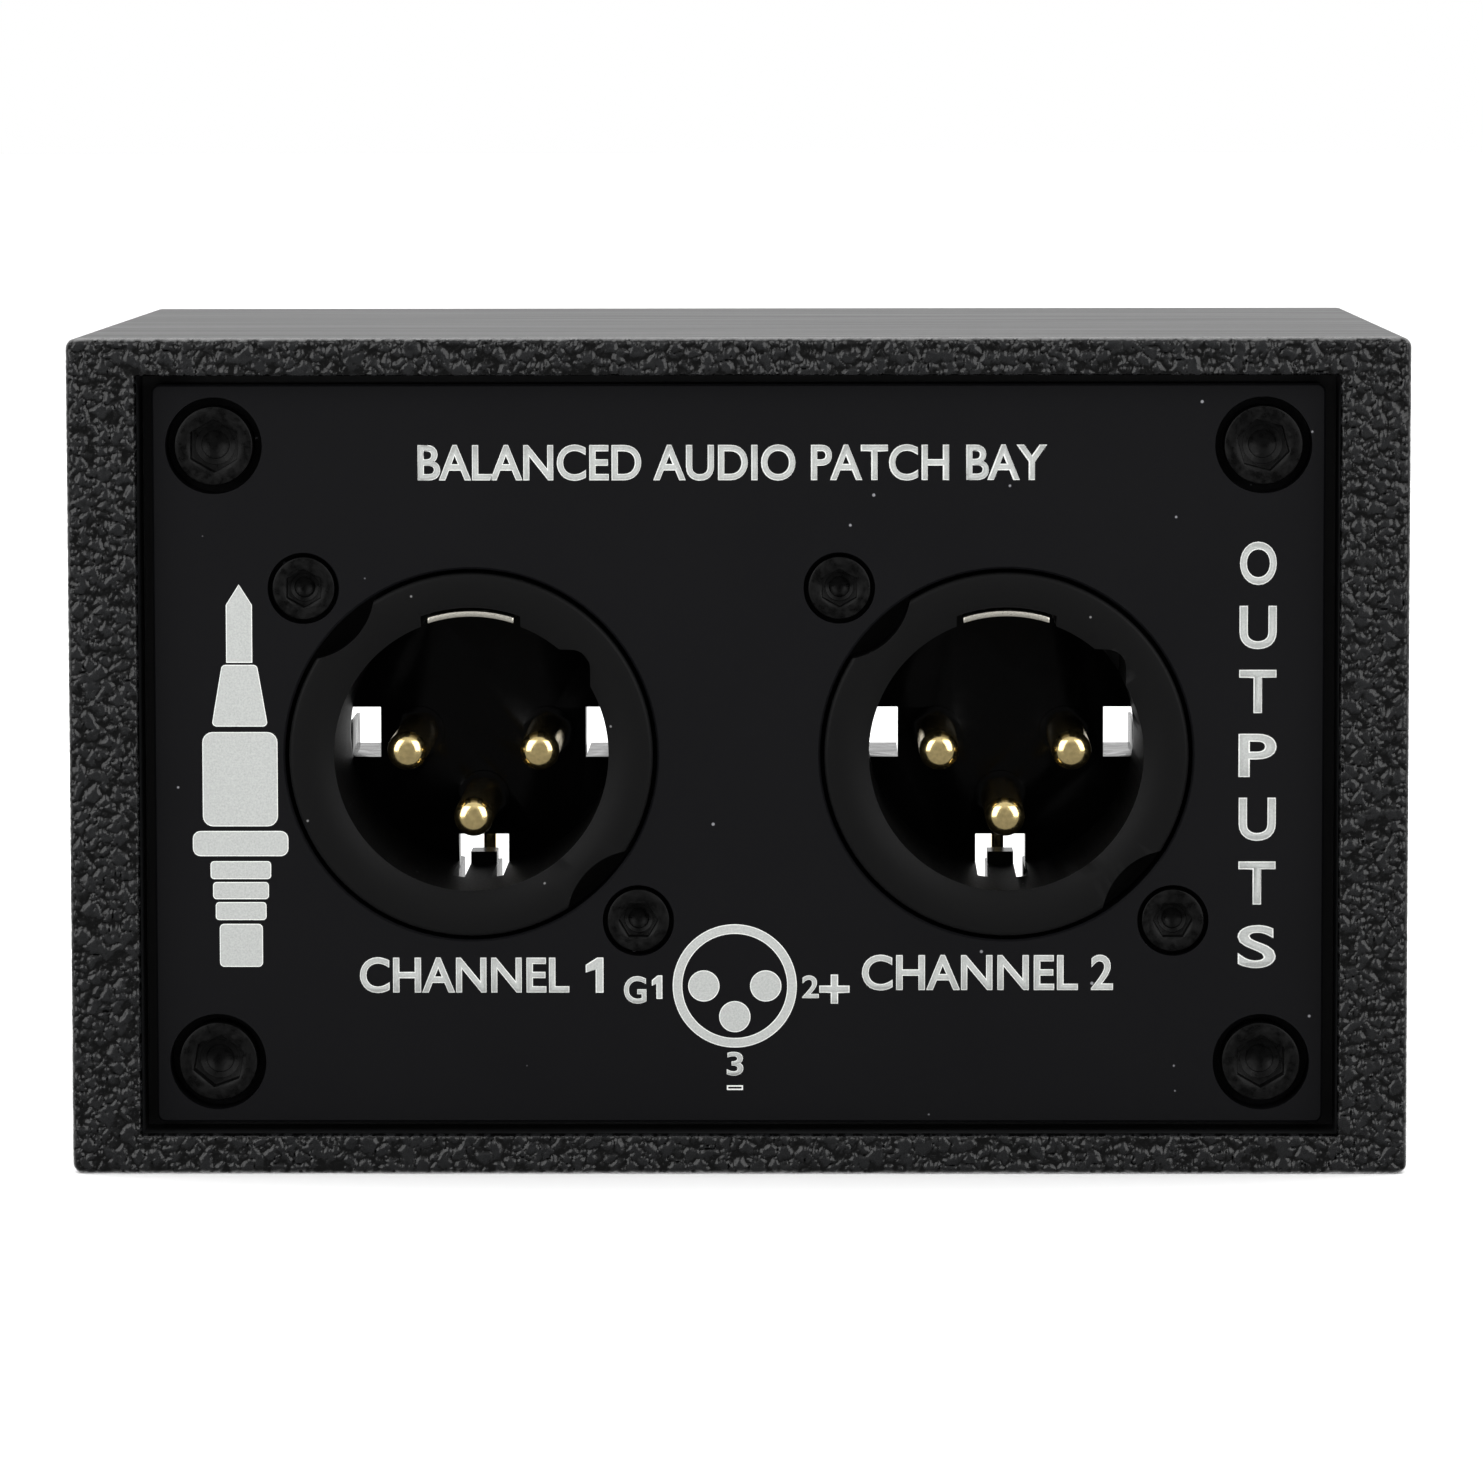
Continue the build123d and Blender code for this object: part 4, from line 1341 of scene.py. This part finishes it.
def softened_copy(node, name, width):
    """A merged copy of a design node with its sharp edges rounded."""
    pick_only(frame["nodes"][node])
    bpy.ops.object.duplicate(linked=False)
    piece = bpy.context.object
    piece.name = name
    piece.data.name = name
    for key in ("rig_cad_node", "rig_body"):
        if key in piece:
            del piece[key]
    bpy.ops.object.parent_clear(type="CLEAR_KEEP_TRANSFORM")
    edit_all(piece)
    bpy.ops.mesh.remove_doubles(threshold=0.001 * MM)
    bpy.ops.mesh.dissolve_limited(angle_limit=math.radians(1))
    leave_edit()
    soften(piece, width, segments=2, angle=35)
    return smooth(piece, 35)


def contact_piece(channel, contact, tip_rounding):
    """One contact: a turned pin with a rounded tip, a thicker body and a bent leg."""
    node = f"socket_{channel}_{contact}"
    low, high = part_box(node)
    x = (low.x + high.x) / 2
    z = high.z - CONTACT_BODY_RADIUS
    tip = low.y
    face, _ = carrier_depths()
    leg_thickness = 0.8 * MM
    leg_front = high.y - leg_thickness
    flat = CONTACT_RADIUS - tip_rounding
    nose = [
        (flat + tip_rounding * math.sin(angle), tip + tip_rounding * (1 - math.cos(angle)))
        for angle in [math.radians(step) for step in range(0, 91, 10)]
    ]
    pin = lathe(f"socket_{channel}_{contact}_pin", x, z, [
        (0, tip), *nose, (CONTACT_RADIUS, face - COLLAR_HEIGHT),
        (CONTACT_NECK_RADIUS, face - COLLAR_HEIGHT), (CONTACT_NECK_RADIUS, face),
        (CONTACT_BODY_RADIUS, face),
        (CONTACT_BODY_RADIUS, leg_front), (0, leg_front),
    ], steps=64)
    leg_half = 0.375 * MM
    leg = add_block(
        "leg", Vector((x - leg_half, leg_front - 0.1 * MM, low.z)),
        Vector((x + leg_half, high.y, z + CONTACT_RADIUS)),
    )
    soften(leg, 0.12 * MM, segments=3, angle=35)
    combine(pin, leg, "UNION")
    return smooth(pin, 30)


class BuildContacts(bpy.types.Operator):
    """Models the gold-plated contacts"""

    bl_idname = "patch_bay.contacts"
    bl_label = "Contacts"

    def execute(self, context):
        """Builds the three contacts of each socket."""
        settings = context.scene.patch_bay_sockets
        material = plated_gold(settings.gold_colour)
        for channel in CHANNELS:
            for contact in CONTACTS:
                pin = contact_piece(channel, contact, settings.contact_tip_radius)
                finish_piece(pin, material, "contact_gold", f"socket_{channel}_{contact}")
        return {"FINISHED"}


GROUND_INNER = 8.2 * MM
GROUND_OUTER = 8.53 * MM
GROUND_HALF_WIDTH = 2.55 * MM
GROUND_TAIL_HALF = 1.1 * MM


def ground_strip(channel):
    """The curved spring strip at the top of a socket's bore, with a drilled tail."""
    middle = SOCKET_MIDDLE[channel]
    low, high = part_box(f"socket_{channel}_ground_plate")
    strip = lathe(
        f"socket_{channel}_ground_strip", middle.x, middle.z,
        ring_outline(GROUND_INNER, GROUND_OUTER, low.y, high.y), steps=256,
    )
    top = middle.z + 2 * GROUND_OUTER
    tail_start = BARREL_END + 0.6 * MM
    wide = add_block(
        "wide", Vector((middle.x - GROUND_HALF_WIDTH, low.y - MM, middle.z + 4 * MM)),
        Vector((middle.x + GROUND_HALF_WIDTH, tail_start, top)),
    )
    narrow = add_block(
        "narrow", Vector((middle.x - GROUND_TAIL_HALF, tail_start - 0.5 * MM, middle.z + 4 * MM)),
        Vector((middle.x + GROUND_TAIL_HALF, high.y + MM, top)),
    )
    combine(wide, narrow, "UNION")
    combine(strip, wide, "INTERSECT")
    bpy.ops.object.select_all(action="DESELECT")
    bpy.ops.mesh.primitive_cylinder_add(
        vertices=32, radius=0.6 * MM, depth=6 * MM,
        location=(middle.x, high.y - GROUND_TAIL_HALF, middle.z + GROUND_OUTER),
    )
    combine(strip, settle(bpy.context.object, "hole"), "DIFFERENCE")
    soften(strip, 0.07 * MM, segments=2, angle=50)
    return smooth(strip, 35)


class BuildGroundStrips(bpy.types.Operator):
    """Models the ground strips"""

    bl_idname = "patch_bay.ground_strips"
    bl_label = "Ground strips"

    def execute(self, context):
        """Builds one strip and copies it to the other socket."""
        material = plain_metal("tinned_spring", (0.78, 0.75, 0.66), 0.36, 0.1 * MM)
        first = ground_strip(1)
        second = copy_shifted(first, "socket_2_ground_strip", SOCKET_MIDDLE[2] - SOCKET_MIDDLE[1])
        for channel, strip in zip(CHANNELS, (first, second)):
            finish_piece(strip, material, "ground_tin", f"socket_{channel}_ground_plate")
        return {"FINISHED"}


class FinishHardware(bpy.types.Operator):
    """Finishes the nuts, washers and thread inserts"""

    bl_idname = "patch_bay.hardware"
    bl_label = "Nuts, washers and inserts"

    def execute(self, context):
        """Softened copies in zinc plating, and brass for the inserts."""
        zinc = plain_metal("zinc_plate", (0.66, 0.67, 0.69), 0.3, 0.6 * MM)
        for channel in CHANNELS:
            for group, width in (("nuts", 0.12), ("washers", 0.08)):
                node = f"socket_{channel}_{group}"
                piece = softened_copy(node, f"socket_{channel}_plated_{group}", width * MM)
                finish_piece(piece, zinc, "zinc_steel", node)
        finish_node("panel_inserts", plain_metal("insert_brass", (0.78, 0.57, 0.26), 0.3, 0.4 * MM))
        return {"FINISHED"}


# ---------------------------------------------------------------------------------------
# Stage
# ---------------------------------------------------------------------------------------

CAMERA_PLACE = Vector((5.63, -461.0, 64.7)) * MM
CAMERA_PITCH = math.radians(-5.14)
CAMERA_TURN = math.radians(0.72)
CAMERA_ROLL = math.radians(0.09)
FLOOR_SIZE = 12.0
SIDE_PLACE = Vector((0.40, -0.42, 0.24))
SIDE_SIZE = (0.46, 0.5)


def add_softbox(name, place, target, width, height, power):
    """A rectangular soft light at a place, turned to a target."""
    bpy.ops.object.light_add(type="AREA", location=place)
    light = bpy.context.object
    light.name = name
    light.data.shape = "RECTANGLE"
    light.data.size = width
    light.data.size_y = height
    light.data.energy = power
    light.rotation_euler = (Vector(target) - Vector(place)).to_track_quat("-Z", "Y").to_euler()
    return light


def map_glow(world, source, low, high, to_low, to_high):
    """Maps one axis of the direction to a brightness."""
    node = world.node_tree.nodes.new("ShaderNodeMapRange")
    node.interpolation_type = "SMOOTHSTEP"
    node.inputs["From Min"].default_value = low
    node.inputs["From Max"].default_value = high
    node.inputs["To Min"].default_value = to_low
    node.inputs["To Max"].default_value = to_high
    world.node_tree.links.new(source, node.inputs["Value"])
    return node.outputs["Result"]


def add_surroundings(settings):
    """A plain room: pale behind the object, dark in front of it, brightest overhead."""
    world = bpy.data.worlds.new("studio")
    bpy.context.scene.world = world
    world.use_nodes = True
    nodes, links = world.node_tree.nodes, world.node_tree.links
    place = nodes.new("ShaderNodeTexCoord")
    axes = nodes.new("ShaderNodeSeparateXYZ")
    links.new(place.outputs["Generated"], axes.inputs["Vector"])
    side = map_glow(world, axes.outputs["Y"], -0.4, 0.15, settings.front_glow, settings.back_glow)
    lift = map_glow(world, axes.outputs["Z"], 0.2, 0.65, 1.0, settings.overhead_glow)
    both = nodes.new("ShaderNodeMath")
    both.operation = "MULTIPLY"
    links.new(side, both.inputs[0])
    links.new(lift, both.inputs[1])
    links.new(both.outputs["Value"], nodes["Background"].inputs["Strength"])
    nodes["Background"].inputs["Color"].default_value = (1, 1, 1, 1)


class BuildStage(bpy.types.Operator):
    """Adds the floor, the lights and the camera"""

    bl_idname = "patch_bay.stage"
    bl_label = "Stage"

    def execute(self, context):
        """Builds the plain studio."""
        settings = context.scene.patch_bay_stage
        bpy.ops.object.select_all(action="DESELECT")
        bpy.ops.mesh.primitive_plane_add(size=FLOOR_SIZE, location=(0, 0, 0))
        floor = bpy.context.object
        floor.name = "floor"
        floor.data.materials.append(pale_floor())
        floor.visible_glossy = False
        add_surroundings(settings)
        for name, way in (("left_softbox", -1), ("right_softbox", 1)):
            place = Vector((SIDE_PLACE.x * way, SIDE_PLACE.y, SIDE_PLACE.z))
            add_softbox(name, place, (0, 0, 0.03), *SIDE_SIZE, settings.side_power)
        add_softbox(
            "overhead_softbox", (0, 0.25, 0.8), (0, 0.1, 0), 1.2, 0.9, settings.top_power
        )
        bpy.ops.object.camera_add(location=CAMERA_PLACE)
        camera = bpy.context.object
        camera.name = "camera"
        camera.rotation_euler = (
            Matrix.Rotation(CAMERA_TURN, 3, "Z")
            @ Matrix.Rotation(CAMERA_PITCH, 3, "X")
            @ Matrix.Rotation(CAMERA_ROLL, 3, "Y")
            @ Matrix.Rotation(math.pi / 2, 3, "X")
        ).to_euler()
        camera.data.lens = settings.lens
        camera.data.sensor_width = 36.0
        camera.data.clip_start = 0.01
        context.scene.camera = camera
        context.scene.view_settings.view_transform = "Standard"
        return {"FINISHED"}


# ---------------------------------------------------------------------------------------
# Panel and registration
# ---------------------------------------------------------------------------------------

OPERATORS = (
    BuildHousing, BuildPanel, BuildMarks, BuildScrews, BuildShells, BuildCarriers,
    BuildContacts, BuildGroundStrips, FinishHardware, BuildStage,
)
SETTINGS = {
    "patch_bay_housing": HousingSettings,
    "patch_bay_panel": PanelSettings,
    "patch_bay_sockets": SocketSettings,
    "patch_bay_stage": StageSettings,
}


class PatchBayPanel(bpy.types.Panel):
    """Lists the pieces of the patch bay and their settings"""

    bl_idname = "VIEW3D_PT_patch_bay"
    bl_label = "Patch Bay"
    bl_space_type = "VIEW_3D"
    bl_region_type = "UI"
    bl_category = "Patch Bay"

    def draw(self, context):
        """Draws the settings and a button for each piece."""
        for name, group in SETTINGS.items():
            settings = getattr(context.scene, name)
            box = self.layout.box()
            for prop in group.__annotations__:
                box.prop(settings, prop)
        for operator in OPERATORS:
            self.layout.operator(operator.bl_idname)


def register():
    """Registers the settings, the operators and the panel."""
    for group in SETTINGS.values():
        bpy.utils.register_class(group)
    for name, group in SETTINGS.items():
        setattr(bpy.types.Scene, name, bpy.props.PointerProperty(type=group))
    for item in (*OPERATORS, PatchBayPanel):
        bpy.utils.register_class(item)


def unregister():
    """Takes everything out again."""
    for item in (PatchBayPanel, *reversed(OPERATORS)):
        bpy.utils.unregister_class(item)
    for name in SETTINGS:
        delattr(bpy.types.Scene, name)
    for group in reversed(SETTINGS.values()):
        bpy.utils.unregister_class(group)


def main():
    """Builds every piece in order."""
    register()
    bpy.ops.patch_bay.housing()
    bpy.ops.patch_bay.panel()
    bpy.ops.patch_bay.marks()
    bpy.ops.patch_bay.screws()
    bpy.ops.patch_bay.shells()
    bpy.ops.patch_bay.carriers()
    bpy.ops.patch_bay.contacts()
    bpy.ops.patch_bay.ground_strips()
    bpy.ops.patch_bay.hardware()
    bpy.ops.patch_bay.stage()


if __name__ == "__main__":
    main()
